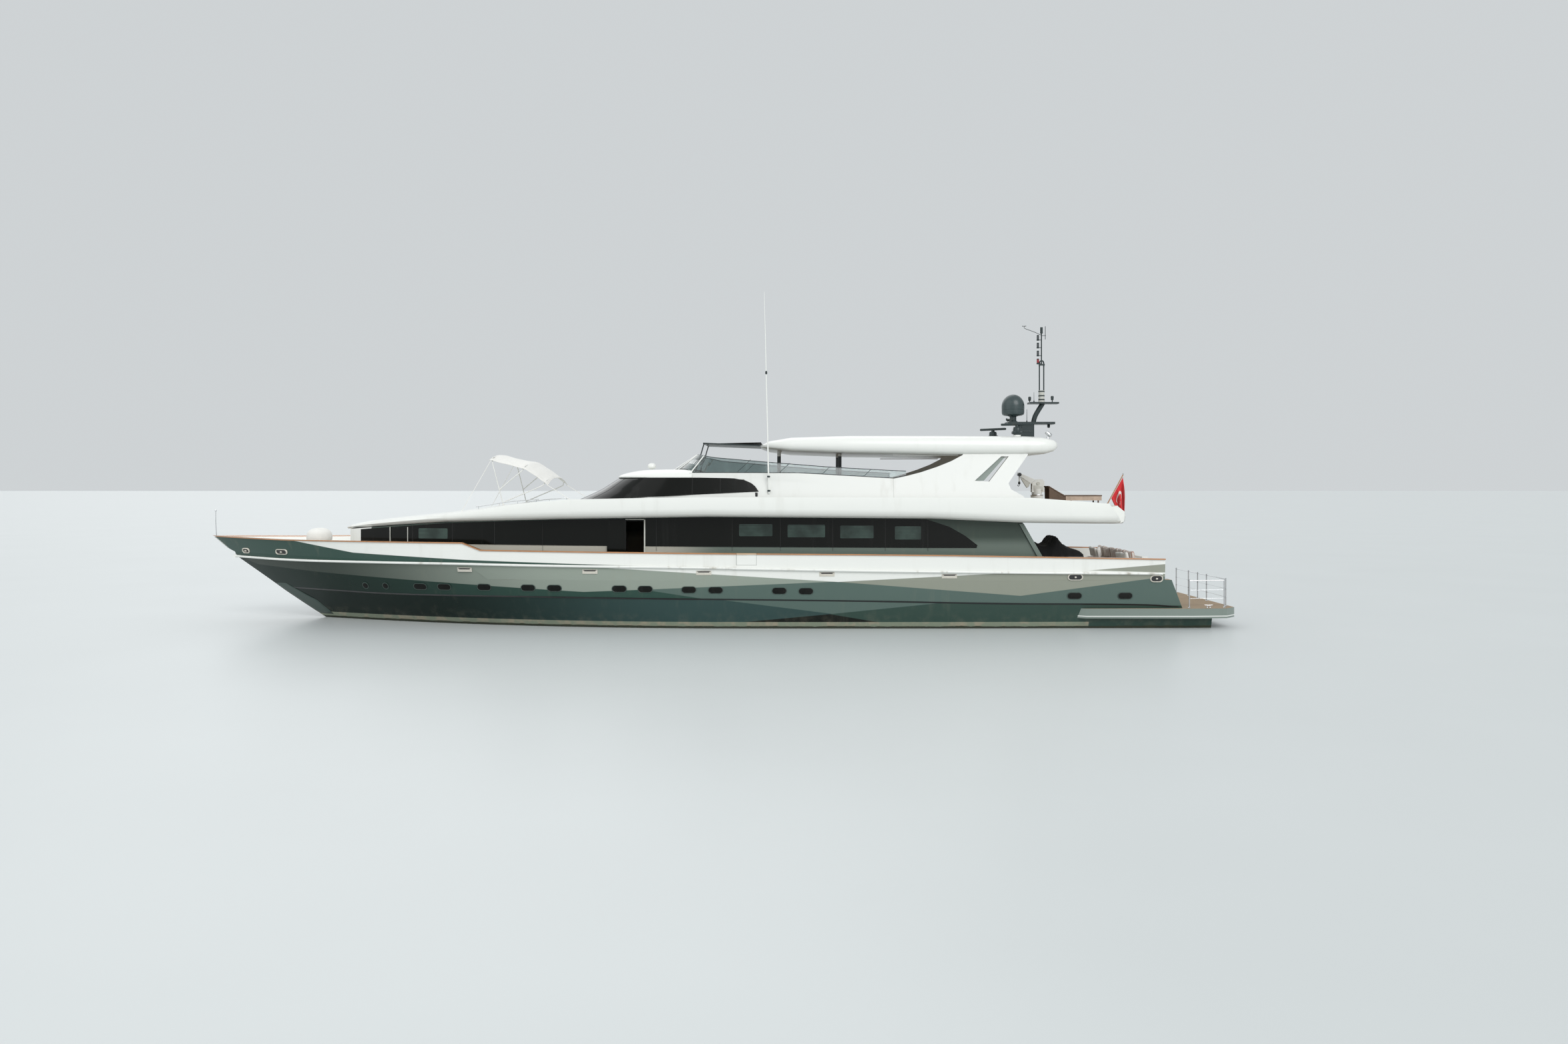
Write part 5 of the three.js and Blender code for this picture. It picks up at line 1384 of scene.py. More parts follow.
    def windscreen(self):
        glass, frames, bright = Form(), Form(), Form()
        rings, feet, heads = [], [], []
        for s in spread(-1.0, 1.0, 97):
            foot, top = self.screen_edges(s)
            rings.append([self.screen_point(s, z, inset) for z, inset in (
                (foot, 0.0), (top, 0.0), (top, self.SCREEN_THICK), (foot, self.SCREEN_THICK))])
            feet.append(self.screen_point(s, foot + 0.012, 0.5 * self.SCREEN_THICK))
            heads.append(self.screen_point(s, top + 0.006, 0.5 * self.SCREEN_THICK))
        glass.skin(rings)
        piece = glass.done("windscreen_glass", "screen", sharp=40)
        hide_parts("fly_windscreen")
        frames.tube(feet, 0.016, sides=6)
        frames.tube(heads, 0.014, sides=8)
        run = (1 - self.SCREEN_SHARE) / (self.SCREEN_BEND - self.SCREEN_AFT)
        for side in (-1, 1):
            for x in self.JOINTS:
                low, high = self.screen_post(side * (self.SCREEN_SHARE
                                                     + run * (self.SCREEN_BEND - x)))
                high.x -= 0.32 * (high.z - low.z) / 0.3
                frames.tube([low, high], 0.009, sides=6)
            for s in (0.06, 0.17, 0.3):
                bright.tube(self.screen_post(side * s), 0.026, sides=8)
        frames.done("windscreen_frame", "slate")
        bright.tube(self.screen_post(0.0), 0.035, sides=8)
        bright.done("windscreen_pillars", "white")

    def make(self):
        dress("upper_deck", "upper_deck", sharp=52)
        dress("white", "coachroof", sharp=52)
        dress("white", "helm_console", sharp=30)
        # The wheelhouse wall and the wings take the darker white of painted shade
        dress("painted_shade_white", "wheelhouse_wall", sharp=30)
        self.wheelhouse()
        self.windscreen()
        dress("hardtop", "hardtop", sharp=52)
        dress("painted_shade_white", "arch_wing_port", "arch_wing_starboard", sharp=40)

        for name, side in SIDES:
            slot_panel = Form()
            rings = []
            for z in spread(5.29, 6.16, 6):
                fore = -9.92 - 1.02 * (z - 5.29) / 0.9
                aft = -10.44 - 0.76 * (z - 5.26) / 0.92
                edge = fore + 0.62 * (aft - fore)
                y = side * (lean_half(z) - 0.09)
                rings.append([(fore + 0.004, y - 0.012, z), (edge, y - 0.012, z),
                              (edge, y + 0.012, z), (fore + 0.004, y + 0.012, z)])
            slot_panel.skin(rings)
            slot_panel.done(f"wing_slot_panel_{name}", "silver_trim")

            scuppers = Form()
            x, y, z = -2.04, side * lean_half(4.78), 4.78
            scuppers.block((x - 0.045, y - 0.02, z - 0.085), (x + 0.045, y + 0.02, z + 0.085))
            scuppers.done(f"scuppers_{name}", "dark_trim")

            strip = Form()
            y = side * 2.62
            strip.block((-9.4, y - 0.04, 6.215), (-7.0, y + 0.04, 6.245))
            strip.done(f"hardtop_light_strip_{name}", "clear_lens")

        dome = Form()
        dome.turned([(0.07, 0.0), (0.07, 0.03), (0.05, 0.05), (0.05, 0.08), (0.13, 0.1),
                     (0.165, 0.14), (0.165, 0.19), (0.14, 0.25), (0.085, 0.29), (0.0, 0.305)],
                    (2.12, 0.0, 5.69), sides=36)
        dome.done("small_white_dome", "white", slot="white_plastic", sharp=60)


class YACHT_OT_mast(Piece):
    """Mast and its lights, horns, wind vane and camera, the dome, the radars and the whips."""

    bl_idname = "yacht.mast"
    bl_label = "Mast, dome and radars"

    POLE, LIGHT, DOME = -13.07, -12.93, -11.96  # where they stand along the boat
    LIGHTS = (10.89, 10.59, 10.28, 9.97)
    VANE = (-12.42, 0.02, 11.24)
    CUPS = (-12.39, 0.02, 11.33)
    # Radars as (x, y, height of the gearbox's top, degrees turned)
    RADARS = {"aft": (-11.85, 1.25, 7.33, -15.0), "fore": (-11.4, -1.15, 7.27, 135.0)}
    BAR_DEEP, BAR_HIGH = 0.053, 0.046
    # The bar's ends as (along, size), and its section as (across, up)
    BAR = [(-0.6, 0.7), (-0.596, 0.86), (-0.57, 1.0), (-0.2, 1.0), (0.2, 1.0), (0.57, 1.0),
           (0.596, 0.86), (0.6, 0.7)]
    SECTION = [(-1, -0.5), (-0.8, -0.9), (0.5, -1.0), (0.9, -0.6), (1, 0.4), (0.6, 0.9),
               (-0.6, 1.0), (-0.95, 0.6)]

    def dome(self):
        dome = Form()
        rows = [(0.17, 7.5903), (0.17, 7.62), (0.13, 7.65), (0.13, 7.8), (0.2, 7.83),
                (0.34, 7.85), (0.405, 7.88), (0.43, 7.93), (0.435, 8.0), (0.435, 8.06),
                (0.428, 8.065), (0.428, 8.075), (0.436, 8.08)]
        rows += [(0.437 * math.cos(a), 8.2 + 0.47 * math.sin(a))
                 for a in spread(0.0, 0.5 * math.pi, 15)]
        dome.turned(rows, (self.DOME, 0, 0), sides=56)
        for a in around(8):
            dome.turned([(0.014, 7.62), (0.014, 7.636)],
                        (self.DOME + 0.15 * math.cos(a), 0.15 * math.sin(a), 0), sides=8)
        shell = dome.done("satellite_dome_shell", "dome", sharp=28)
        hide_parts("satellite_dome")

    def radars(self):
        for name, (x, y, top, degrees) in self.RADARS.items():
            bar = Form()
            bar.turned([(0.07, 0.0005), (0.075, 0.02), (0.06, 0.06), (0.05, 0.065)],
                       (x, y, top), sides=28)
            turn = rotation(degrees, "Z")
            middle = Vector((x, y, top + 0.1))
            bar.skin([[middle + turn @ Vector((along, u * self.BAR_DEEP * size,
                                               v * self.BAR_HIGH * size))
                       for u, v in self.SECTION] for along, size in self.BAR])
            rib = middle + turn @ Vector((0.0, 0.057, 0.0))
            half = Vector((0.2, 0.002, 0.01))
            bar.block(rib - half, rib + half, soft=0.001, turn=turn)
            scanner = bar.done(f"radar_bar_{name}", "slate", body=f"radar_{name}", sharp=40)
            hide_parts(f"radar_scanner_{name}")

            cone = Form()
            cone.turned([(0.15, -0.21), (0.155, -0.17), (0.15, -0.05), (0.12, -0.0008)],
                        (x, y, top), sides=32)
            cone.block((x - 0.19, y - 0.13, top - 0.27), (x + 0.19, y + 0.13, top - 0.15),
                       soft=0.03, steps=3)
            cone.done(f"radar_gearbox_{name}", "slate")

    def wind_gear(self, details):
        details.tube([(self.POLE, 0, 10.98), (-12.8, 0.02, 11.1), self.VANE], 0.011, sides=8)
        for a in (0.3, 2.4, 4.5):
            x, y, z = self.CUPS
            cup = (x + 0.07 * math.cos(a), y + 0.07 * math.sin(a), z)
            details.tube([self.CUPS, cup], 0.005, sides=6)
            details.turned([(0.0, -0.022), (0.018, -0.014), (0.024, 0.006), (0.0, 0.01)], cup,
                           sides=12)
        details.tube([self.VANE, (-12.39, 0.02, 11.26), (-12.39, 0.02, 11.35)], 0.009, sides=8)

    def fittings(self):
        details = Form()
        for z in self.LIGHTS:
            details.turned([(0.045, -0.12), (0.05, -0.1), (0.05, -0.07), (0.04, -0.06)],
                           (self.LIGHT, 0, z), sides=18)
            details.turned([(0.04, 0.06), (0.05, 0.075), (0.035, 0.1)], (self.LIGHT, 0, z),
                           sides=18)
            details.tube([(self.POLE, 0, z - 0.09), (self.LIGHT, 0, z - 0.09)], 0.015, sides=6)
        details.turned([(0.055, 11.06), (0.055, 11.09), (0.045, 11.1), (0.045, 11.18),
                        (0.055, 11.19), (0.03, 11.24), (0.0, 11.25)], (self.POLE, 0, 0), sides=20)
        details.tube(rounded([(-12.99, 0, 9.75), (-13.0, 0, 9.93), (-13.075, 0, 9.99),
                              (-13.15, 0, 9.93), (-13.16, 0, 9.75)]), 0.027)
        details.tube([(-13.22, 0, 10.82), (-13.22, 0, 11.33)], 0.012, sides=8)
        details.tube([(self.POLE, 0, 10.97), (-13.24, 0, 10.97)], 0.012, sides=8)
        self.wind_gear(details)
        for z in (8.47, 8.62, 8.79):
            details.turned([(0.122, -0.025), (0.122, 0.02)], (self.POLE, 0, z), sides=28)
        for x, y in ((-13.45, 0.16), (-12.65, -0.18)):
            details.tube([(x, y, 8.365), (x, y, 8.44)], 0.02, sides=8)
            details.turned([(0.05, 0.0), (0.06, 0.12), (0.045, 0.16)], (x, y, 8.44), sides=16)
        for x, y in ((-13.35, 0.0), (-12.2, 0.24)):
            details.turned([(0.045, 0.0), (0.055, -0.02), (0.055, -0.11), (0.03, -0.13)],
                           (x, y, 7.5), sides=16)
        for x, y in ((-12.0, -0.28), (-11.85, 0.27)):
            details.tube([(x, y, 7.59), (x, y, 7.66)], 0.014, sides=8)
            details.turned([(0.018, 0.0), (0.02, 0.12), (0.028, 0.24), (0.05, 0.31),
                            (0.052, 0.315), (0.0, 0.28)], (x - 0.1, y, 7.68),
                           turn=rotation(90, "Y"), sides=18)
        details.block((-12.71, -0.28, 6.9), (-12.12, 0.28, 6.99), soft=0.02)
        details.block((-12.68, -0.275, 7.2), (-12.15, 0.275, 7.24))
        details.done("mast_fittings", "slate")

    def small_pieces(self):
        lenses = Form()
        for z in self.LIGHTS:
            lenses.turned([(0.043, -0.06), (0.046, 0.0), (0.043, 0.06)], (self.LIGHT, 0, z),
                          sides=18, slot=1 if z == self.LIGHTS[-1] else 0)
        lenses.turned([(0.05, 11.1), (0.05, 11.18)], (self.POLE, 0, 0), sides=18)
        lenses.done("mast_lights", "dark_lens", "red_lens")

        drum = Form()
        drum.turned([(0.13, 8.368), (0.13, 8.41), (0.113, 8.43), (0.113, 8.78), (0.12, 8.8),
                     (0.12, 8.825), (0.0, 8.83)], (self.POLE, 0, 0), sides=32)
        drum.done("mast_drum", "pale_trim")

        whips = Form()
        for x, y, z0, z1, r in ((-12.45, 0.22, 7.58, 8.08, 0.012),
                                (-12.75, 0.12, 8.36, 8.75, 0.009),
                                (-11.78, 0.28, 7.58, 7.95, 0.01)):
            whips.turned([(0.03, z0), (0.025, z0 + 0.05), (r, z0 + 0.07), (0.6 * r, z1)],
                         (x, y, 0), sides=10)
        whips.done("mast_short_whips", "slate")

        camera = Form()
        camera.turned([(0.06, 0.0), (0.065, 0.03), (0.045, 0.06), (0.04, 0.12)],
                      (-12.93, 1.6, 6.835), sides=20)
        camera.turned([(0.06, -0.12), (0.075, -0.09), (0.08, 0.05), (0.065, 0.12),
                       (0.0, 0.125)], (-12.96, 1.6, 7.05), turn=rotation(55, "Y"), sides=24)
        camera.block((-13.04, 1.51, 7.0), (-12.88, 1.69, 7.07), soft=0.02,
                     turn=rotation(-35, "Y"))
        camera.done("hardtop_camera", "steel", "dark_trim")

        clamps = Form()
        for z in (4.93, 5.44):
            x = -2.49 + 0.17 * (z - 4.83) / 7.25
            clamps.turned([(0.05, -0.03), (0.055, -0.015), (0.055, 0.015), (0.05, 0.03)],
                          (x, 3.33, z), sides=20)
        clamps.turned([(0.036, -0.05), (0.04, 0.0), (0.03, 0.06)], (-2.392, 3.33, 9.17),
                      sides=16)
        clamps.done("whip_clamps", "slate")

    def make(self):
        dress("slate", "mast", sharp=40)
        dress("white", "whip_antenna", sharp=60)
        self.dome()
        self.radars()
        self.fittings()
        self.small_pieces()


class YACHT_OT_crane(Piece):
    """Tender crane: painted castings with their bolts, pads, web and hook block."""

    bl_idname = "yacht.crane"
    bl_label = "Crane"

    X, Y = -13.4, -2.2
    HOOK = -12.68

    def make(self):
        dress("crane_paint", "crane_base", "crane_head", "crane_boom", sharp=40)
        ring = Form()
        ring.turned([(0.33, DECK), (0.33, 4.372), (0.265, 4.39), (0.255, 4.43)],
                    (self.X, self.Y, 0), sides=40)
        ring.turned([(0.265, 4.72), (0.27, 4.735), (0.265, 4.75)], (self.X, self.Y, 0), sides=40)
        for a in around(12):
            ring.turned([(0.018, 4.37), (0.018, 4.392), (0.0, 4.394)],
                        (self.X + 0.295 * math.cos(a), self.Y + 0.295 * math.sin(a), 0), sides=6)
        ring.done("crane_foot_ring", "steel")

        covers = Form()
        across = rotation(90, "X")
        for y in (self.Y - 0.158, self.Y + 0.158):
            covers.block((-13.62, y - 0.012, 4.9), (-13.24, y + 0.012, 5.14))
            covers.turned([(0.07, -0.016), (0.07, 0.016)], (-13.42, y, 5.21), turn=across,
                          sides=24)
        covers.done("crane_covers", "pale_trim", body="crane_head")

        web = Form()
        web.plate([(-12.72, 5.46), (-12.78, 5.34), (-12.98, 5.03), (-13.06, 5.08),
                   (-13.12, 5.26)], -2.275, -2.125, soft=0.012)
        web.done("crane_boom_web", "pale_trim", body="crane_boom")

        hook = Form()
        hook.turned([(0.0, -0.07), (0.045, -0.06), (0.05, 0.0), (0.035, 0.05), (0.0, 0.055)],
                    (self.HOOK, self.Y, 5.24), sides=18)
        hook.tube(rounded([(x, self.Y, z) for x, z in (
            (self.HOOK, 5.2), (self.HOOK, 5.14), (-12.65, 5.1), (-12.62, 5.12),
            (-12.625, 5.16))]), 0.012, sides=8)
        hook.turned([(0.075, -0.1), (0.075, 0.1)], (self.HOOK, self.Y, 5.575), turn=across,
                    sides=28)
        hook.done("crane_hook", "dark_trim", body="crane_boom")


class YACHT_OT_platform(Piece):
    """Bathing platform with its wires, edge strip and cleats, and the gear under water."""

    bl_idname = "yacht.platform"
    bl_label = "Bathing platform and stern gear"

    EDGE = [(-13.45, 3.48), (-13.8, 3.68), (-17.6, 3.69), (-18.85, 3.58), (-19.28, 3.15)]
    POSTS = [(-17.55, 3.45), (-18.85, 3.33), (-19.08, 2.9), (-19.12, 1.0), (-19.12, 0.1),
             (-19.12, -0.85), (-19.12, -2.2)]
    # Wires as (height above the platform, radius)
    WIRES = [(0.98, 0.016), (0.64, 0.006), (0.34, 0.006)]

    def make(self):
        dress("platform", "bathing_platform")
        dress("bronze", "propeller_port", "propeller_starboard", "rudder_port",
              "rudder_starboard")

        strip = Form()
        rings = []
        for x, y in self.EDGE + [(x, -y) for x, y in reversed(self.EDGE)]:
            out = math.copysign(1.0, y)
            rings.append([(x, y + proud * out, z) for proud, z in (
                (-0.02, 0.44), (0.008, 0.443), (0.008, 0.472), (-0.02, 0.475))])
        strip.skin(rings)
        strip.done("platform_edge_strip", "white")

        wires = Form()
        for lift, radius in self.WIRES:
            wires.tube([(x, y, PLATFORM + lift) for x, y in self.POSTS], radius, sides=8)
        for x, y in self.POSTS:
            wires.turned([(0.05, 0.0), (0.05, 0.012), (0.028, 0.03), (0.026, 0.06)],
                         (x, y, PLATFORM), sides=20)
            wires.turned([(0.026, 0.0), (0.026, 0.02), (0.012, 0.035), (0.0, 0.036)],
                         (x, y, 1.725), sides=16)
            for lift in (0.34, 0.64):
                wires.turned([(0.027, -0.012), (0.027, 0.012)], (x, y, PLATFORM + lift),
                             sides=14)
        wires.done("platform_rail_wires", "steel")

        cleats = Form()
        for x, y, z, long in ((-18.3, 3.3, PLATFORM, 0.32), (-14.6, 3.45, PLATFORM, 0.32),
                              (-16.3, 3.3, 1.751, 0.36)):
            for _, side in SIDES:
                cleat(cleats, (x, side * y, z), long)
        cleats.done("stern_cleats", "steel")


class YACHT_OT_foredeck(Piece):
    """Windlass, hatch, cleats and the canvas cover on the foredeck."""

    bl_idname = "yacht.foredeck"
    bl_label = "Foredeck"

    WINDLASS, COVER = 14.2, 15.08  # where they stand along the boat
    DRUM = [(0.115, 2.56), (0.115, 2.6), (0.1, 2.62), (0.1, 2.645), (0.11, 2.66), (0.085, 2.69),
            (0.11, 2.72), (0.11, 2.735), (0.07, 2.76), (0.062, 2.82), (0.085, 2.875),
            (0.09, 2.885), (0.06, 2.8913)]
    DOME = [(0.41, 0.0), (0.41, 0.2), (0.43, 0.42), (0.47, 0.61), (0.44, 0.79), (0.33, 0.91),
            (0.16, 0.975), (0.02, 0.985)]
    GORES = 12

    def make(self):
        dress("white", "foredeck_hatch_lid", sharp=30)
        windlass = Form()
        windlass.block((13.95, -0.42, 2.4713), (14.45, 0.42, 2.5613), soft=0.012)
        for y in (-0.25, 0.25):
            windlass.turned(self.DRUM, (self.WINDLASS, y, 0), sides=36)
            for a in around(6):
                x, out = self.WINDLASS + 0.07 * math.cos(a), y + 0.07 * math.sin(a)
                windlass.tube([(x, out, 2.79), (x, out, 2.86)], 0.008, sides=6)
        windlass.tube([(14.36, -0.25, 2.6), (14.36, 0.25, 2.6)], 0.03, sides=12)
        piece = windlass.done("anchor_windlass", "steel")
        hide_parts("windlass")

        fittings = Form()
        for x in (16.9, 13.2):
            for _, side in SIDES:
                y = side * max(0.35, breadth(x, 2.47) - 0.75)
                cleat(fittings, (x, y, foredeck_height(x)), 0.34)
        for y in (-0.14, 0.14):
            fittings.block((16.2, y - 0.03, 2.63), (16.28, y + 0.03, 2.67), soft=0.008)
        fittings.block((16.78, -0.05, 2.654), (16.84, 0.05, 2.668), soft=0.006)
        fittings.done("foredeck_fittings", "steel")

        cover = Form()
        base = foredeck_height(self.COVER) + 0.004
        rings = []
        for p in rounded(self.DOME, steps=5):
            radius, h = p[0], p[1]
            ring = []
            for a in around(8 * self.GORES):
                slack = 1 - 0.035 * abs(math.sin(0.5 * self.GORES * a)) ** 0.6 * (1 - h)
                slack -= 0.01 * math.sin(5 * a + 3 * h)
                gather = 0.012 * math.sin(3.5 * self.GORES * a) * max(0.0, 1 - h / 0.18)
                r = radius * slack + gather
                ring.append((self.COVER + r * math.cos(a), r * math.sin(a), base + h))
            rings.append(ring)
        cover.skin(rings, ends=False)
        cloth = cover.done("foredeck_canvas_cover", "canvas", sharp=60, sheet=0.004)
        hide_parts("foredeck_cover")
        hem = Form()
        hem.tube([(self.COVER + 0.415 * math.cos(a), 0.415 * math.sin(a), base + 0.06)
                  for a in spread(0, 2 * math.pi, 49)], 0.008, sides=6)
        tie = hem.done("foredeck_cover_tie", "canvas")


class YACHT_OT_after_deck(Piece):
    """After sofa with its stuffed cushions, and the black cover over the table and chairs."""

    bl_idname = "yacht.after_deck"
    bl_label = "After deck"

    RIDGE = [(-12.43, 1.76), (-12.45, 2.3), (-12.46, 2.86), (-12.62, 2.96), (-12.88, 2.83),
             (-13.12, 2.9), (-13.34, 3.15), (-13.46, 3.15), (-13.66, 2.92), (-13.95, 2.74),
             (-14.42, 2.56), (-14.46, 2.2), (-14.47, 1.76)]
    FOOT = 1.76

    def make(self):
        dress("white", "after_sofa", sharp=40)
        along = list(enumerate(spread(-1.74, 1.74, 5)))
        pads = cushions("after_seat_cushion", (0.66, 0.84, 0.15), 0.75, [
            ((-15.715, y, 2.157), (0.4 * ((-1) ** i), 0.0, 1.2 * math.sin(i * 2.1)))
            for i, y in along], "striped")
        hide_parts("after_sofa_cushion")
        cushions("after_back_cushion", (0.2, 0.8, 0.46), 0.8, [
            ((-15.965, y + 0.01 * math.sin(3 * i), 2.46), (0.0, 9.0, 2.0 * math.sin(i * 1.7)))
            for i, y in along], "striped")
        cushions("after_pillow", (0.15, 0.46, 0.4), 0.9, [
            ((-15.72 + 0.03 * i, y, 2.43), (4 - 5 * i, 14.0, 24.0 * math.sin(2.2 * i + 0.4)))
            for i, y in enumerate((1.95, 1.42, -1.2, -1.9))], "canvas")

        cover = Form()
        ridge = rounded(self.RIDGE, steps=9)
        rings = []
        for u in spread(-1.0, 1.0, 65):
            t = math.sin(0.5 * math.pi * u)
            drop = max(0.0, 1 - abs(t) ** 9) ** 0.5
            ring = []
            for k, p in enumerate(ridge):
                x, z = p[0], self.FOOT + (p[1] - self.FOOT) * drop
                hang = max(0.0, min(1.0, (2.7 - z) / 0.8))
                x += 0.02 * math.sin(17 * t + 0.3 * k) * hang + 0.012 * math.sin(31 * t + 1.1 * k)
                y = 0.2 + 0.87 * t + 0.03 * math.sin(21 * x + 3 * t) * hang
                ring.append((x, y, max(1.755, z + 0.014 * math.sin(9 * x + 14 * t) * drop)))
            rings.append(ring)
        cover.skin(rings, closed=False)
        cloth = cover.done("table_and_chairs_cover", "dark_cloth", sharp=180, sheet=0.003)
        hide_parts("covered_table")


class YACHT_OT_bridge_seats(Piece):
    """Helm seat, sofa and wicker lounger of the flying bridge."""

    bl_idname = "yacht.bridge_seats"
    bl_label = "Flying bridge seats"

    SOFA_ALONG = (-8.12, -7.42, -6.72)
    # The lounger's sides across the boat, and the ends and the bend of its flat part
    EDGES = (0.92, 1.63)
    BACK_END, BEND = -14.94, -13.6

    def seats(self):
        base = Form()
        base.block((-1.75, -0.7, 4.351), (-1.25, 0.7, 4.81), soft=0.03, steps=3)
        base.block((-1.82, -0.72, 4.78), (-1.26, 0.72, 4.83), soft=0.02)
        base.plate([(-1.78, 4.82), (-1.86, 5.54), (-1.93, 5.54), (-1.86, 4.82)], -0.7, 0.7)
        piece = base.done("helm_seat_shell", "white")
        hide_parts("helm_seat")
        cushions("helm_seat_cushion", (0.56, 0.7, 0.13), 0.8, [
            ((-1.53, y, 4.9), (0, 0, 0.6 * y)) for y in (-0.36, 0.36)], "upholstery")
        cushions("helm_back_cushion", (0.12, 0.68, 0.56), 0.8, [
            ((-1.765, y, 5.25), (0, -6.0, 0.5 * y)) for y in (-0.355, 0.355)], "upholstery")

        sofa = Form()
        sofa.block((-9.0, 1.42, 4.351), (-6.2, 2.3, 4.62), soft=0.02)
        sofa.block((-9.0, 2.2, 4.351), (-6.2, 2.4, 5.22), soft=0.04, steps=3)
        sofa.block((-9.0, -0.6, 4.351), (-8.52, 2.3, 4.62), soft=0.02)
        sofa.block((-9.15, -0.6, 4.351), (-8.95, 2.4, 5.22), soft=0.04, steps=3)
        piece = sofa.done("bridge_sofa_base", "white")
        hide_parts("fly_sofa")
        places = [((x, 1.82, 4.705), (0, 0, 0.7 * math.sin(5 * x))) for x in self.SOFA_ALONG]
        places += [((-8.66, y, 4.705), (0, 0, 90 + math.sin(4 * y))) for y in (1.72, 0.98, 0.24)]
        cushions("bridge_seat_cushion", (0.66, 0.76, 0.17), 0.75, places, "upholstery")
        places = [((x, 2.12, 4.99), (8, 0, 0)) for x in self.SOFA_ALONG]
        places += [((-8.86, y, 4.99), (8, 0, 90)) for y in (1.66, 0.94, 0.2)]
        cushions("bridge_back_cushion", (0.66, 0.13, 0.38), 0.8, places, "upholstery")

    def make(self):
        self.seats()
        lounger = Form()
        low, high = self.EDGES
        for y in self.EDGES:
            lounger.tube(rounded([(x, y, z) for x, z in (
                (-14.95, 4.74), (-13.62, 4.74), (-13.5, 4.76), (-12.95, 5.09))]), 0.024)
        for x, z in ((-14.93, 4.74), (self.BEND, 4.74), (-12.96, 5.085)):
            lounger.tube([(x, low, z), (x, high, z)], 0.022)
        for x in (-14.82, -13.8):
            for y in (0.95, 1.6):
                lounger.tube([(x, y, 4.73), (x, y, DECK)], [0.024, 0.03])
        lounger.plate([(-14.92, 4.735), (self.BEND, 4.735), (-12.97, 5.08), (-12.955, 5.06),
                       (-13.58, 4.71), (-14.92, 4.71)], 0.94, 1.61)
        reeds = [(x, 4.738) for x in spread(-14.9, -13.62, 22)]
        reeds += [(-13.58 + 0.62 * t, 4.745 + 0.345 * t) for t in spread(0.02, 0.98, 12)]
        for x, z in reeds:
            lounger.tube([(x, 0.93, z), (x, 1.62, z)], 0.012, sides=6)
        for y in (0.925, 1.625):
            lounger.plate([(self.BACK_END, 4.56), (self.BEND, 4.56), (self.BEND, 4.73),
                           (self.BACK_END, 4.73)], y - 0.012, y + 0.012, slot=1)
            lounger.plate([(self.BEND, 4.46), (-12.98, 4.46), (-12.97, 5.06),
                           (self.BEND, 4.72)], y - 0.012, y + 0.012)
            for z in spread(4.585, 4.705, 4):
                lounger.tube([(-14.93, y, z), (self.BEND, y, z)], 0.016, sides=6, slot=1)
        lounger.plate([(0.93, 4.56), (1.62, 4.56), (1.62, 4.73), (0.93, 4.73)], self.BACK_END,
                      -14.915, axis="x")
        piece = lounger.done("wicker_lounger", "wicker", "pale_wicker")
        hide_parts("lounger")


class YACHT_OT_ensign(Piece):
    """Ensign that hangs in folds from its varnished staff."""

    bl_idname = "yacht.ensign"
    bl_label = "Ensign"

    TOP, FOOT = Vector((-16.245, 0.0, 5.44)), Vector((-15.79, 0.0, 4.62))
    ACROSS, ALONG = 46, 70
    LONG = 1.42

    def make(self):
        dress("varnish", "ensign_staff", sharp=50)
        finial = Form()
        finial.turned([(0.0, 0.0), (0.03, 0.005), (0.034, 0.02), (0.02, 0.035), (0.03, 0.055),
                       (0.0, 0.075)], (-16.25, 0, 5.535), sides=20)
        lean = rotation(-28, "Y")
        finial.turned([(0.0, -0.03), (0.045, -0.03), (0.045, 0.05), (0.024, 0.05),
                       (0.024, 0.0)], (-15.62, 0, 4.372), turn=lean, sides=20, capped=False)
        for p in (self.TOP, self.FOOT):
            finial.turned([(0.027, -0.012), (0.027, 0.012)], p + Vector((0.012, 0, 0.004)),
                          turn=lean, sides=16)
        finial.done("ensign_staff_fittings", "steel")

        flag = Form()
        rows, flat = [], []
        for u in spread(0.0, 1.0, self.ACROSS + 1):
            hoist = self.TOP.lerp(self.FOOT, u)
            row = []
            for v in spread(0.0, 1.0, self.ALONG + 1):
                ease = eased(min(1.0, 2.5 * v))
                fall = self.LONG * v * (1 - 0.42 * u)
                sag = (-16.33 + 0.36 * u - hoist.x) * min(1.0, 2.6 * v * (1 - 0.5 * v)) * 0.9
                folds = 0.1 * math.sin(13 * u + 1.6 * v + 1.3) + 0.035 * math.sin(29 * u - 2 * v)
                folds += 0.05 * math.sin(5.5 * v + 4 * u) * u
                row.append(Vector((hoist.x + sag + 0.03 * math.sin(13 * u + 2.6) * ease,
                                   folds * ease, hoist.z - fall)))
                flat.extend((v, 1 - u, 0.0))
            rows.append(row)
        flag.skin(rows, closed=False)
        piece = flag.done("hanging_ensign", "ensign", sharp=180, sheet=0.002)
        spots = piece.data.attributes.new("flat", "FLOAT_VECTOR", "POINT")
        spots.data.foreach_set("vector", flat)
        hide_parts("ensign")


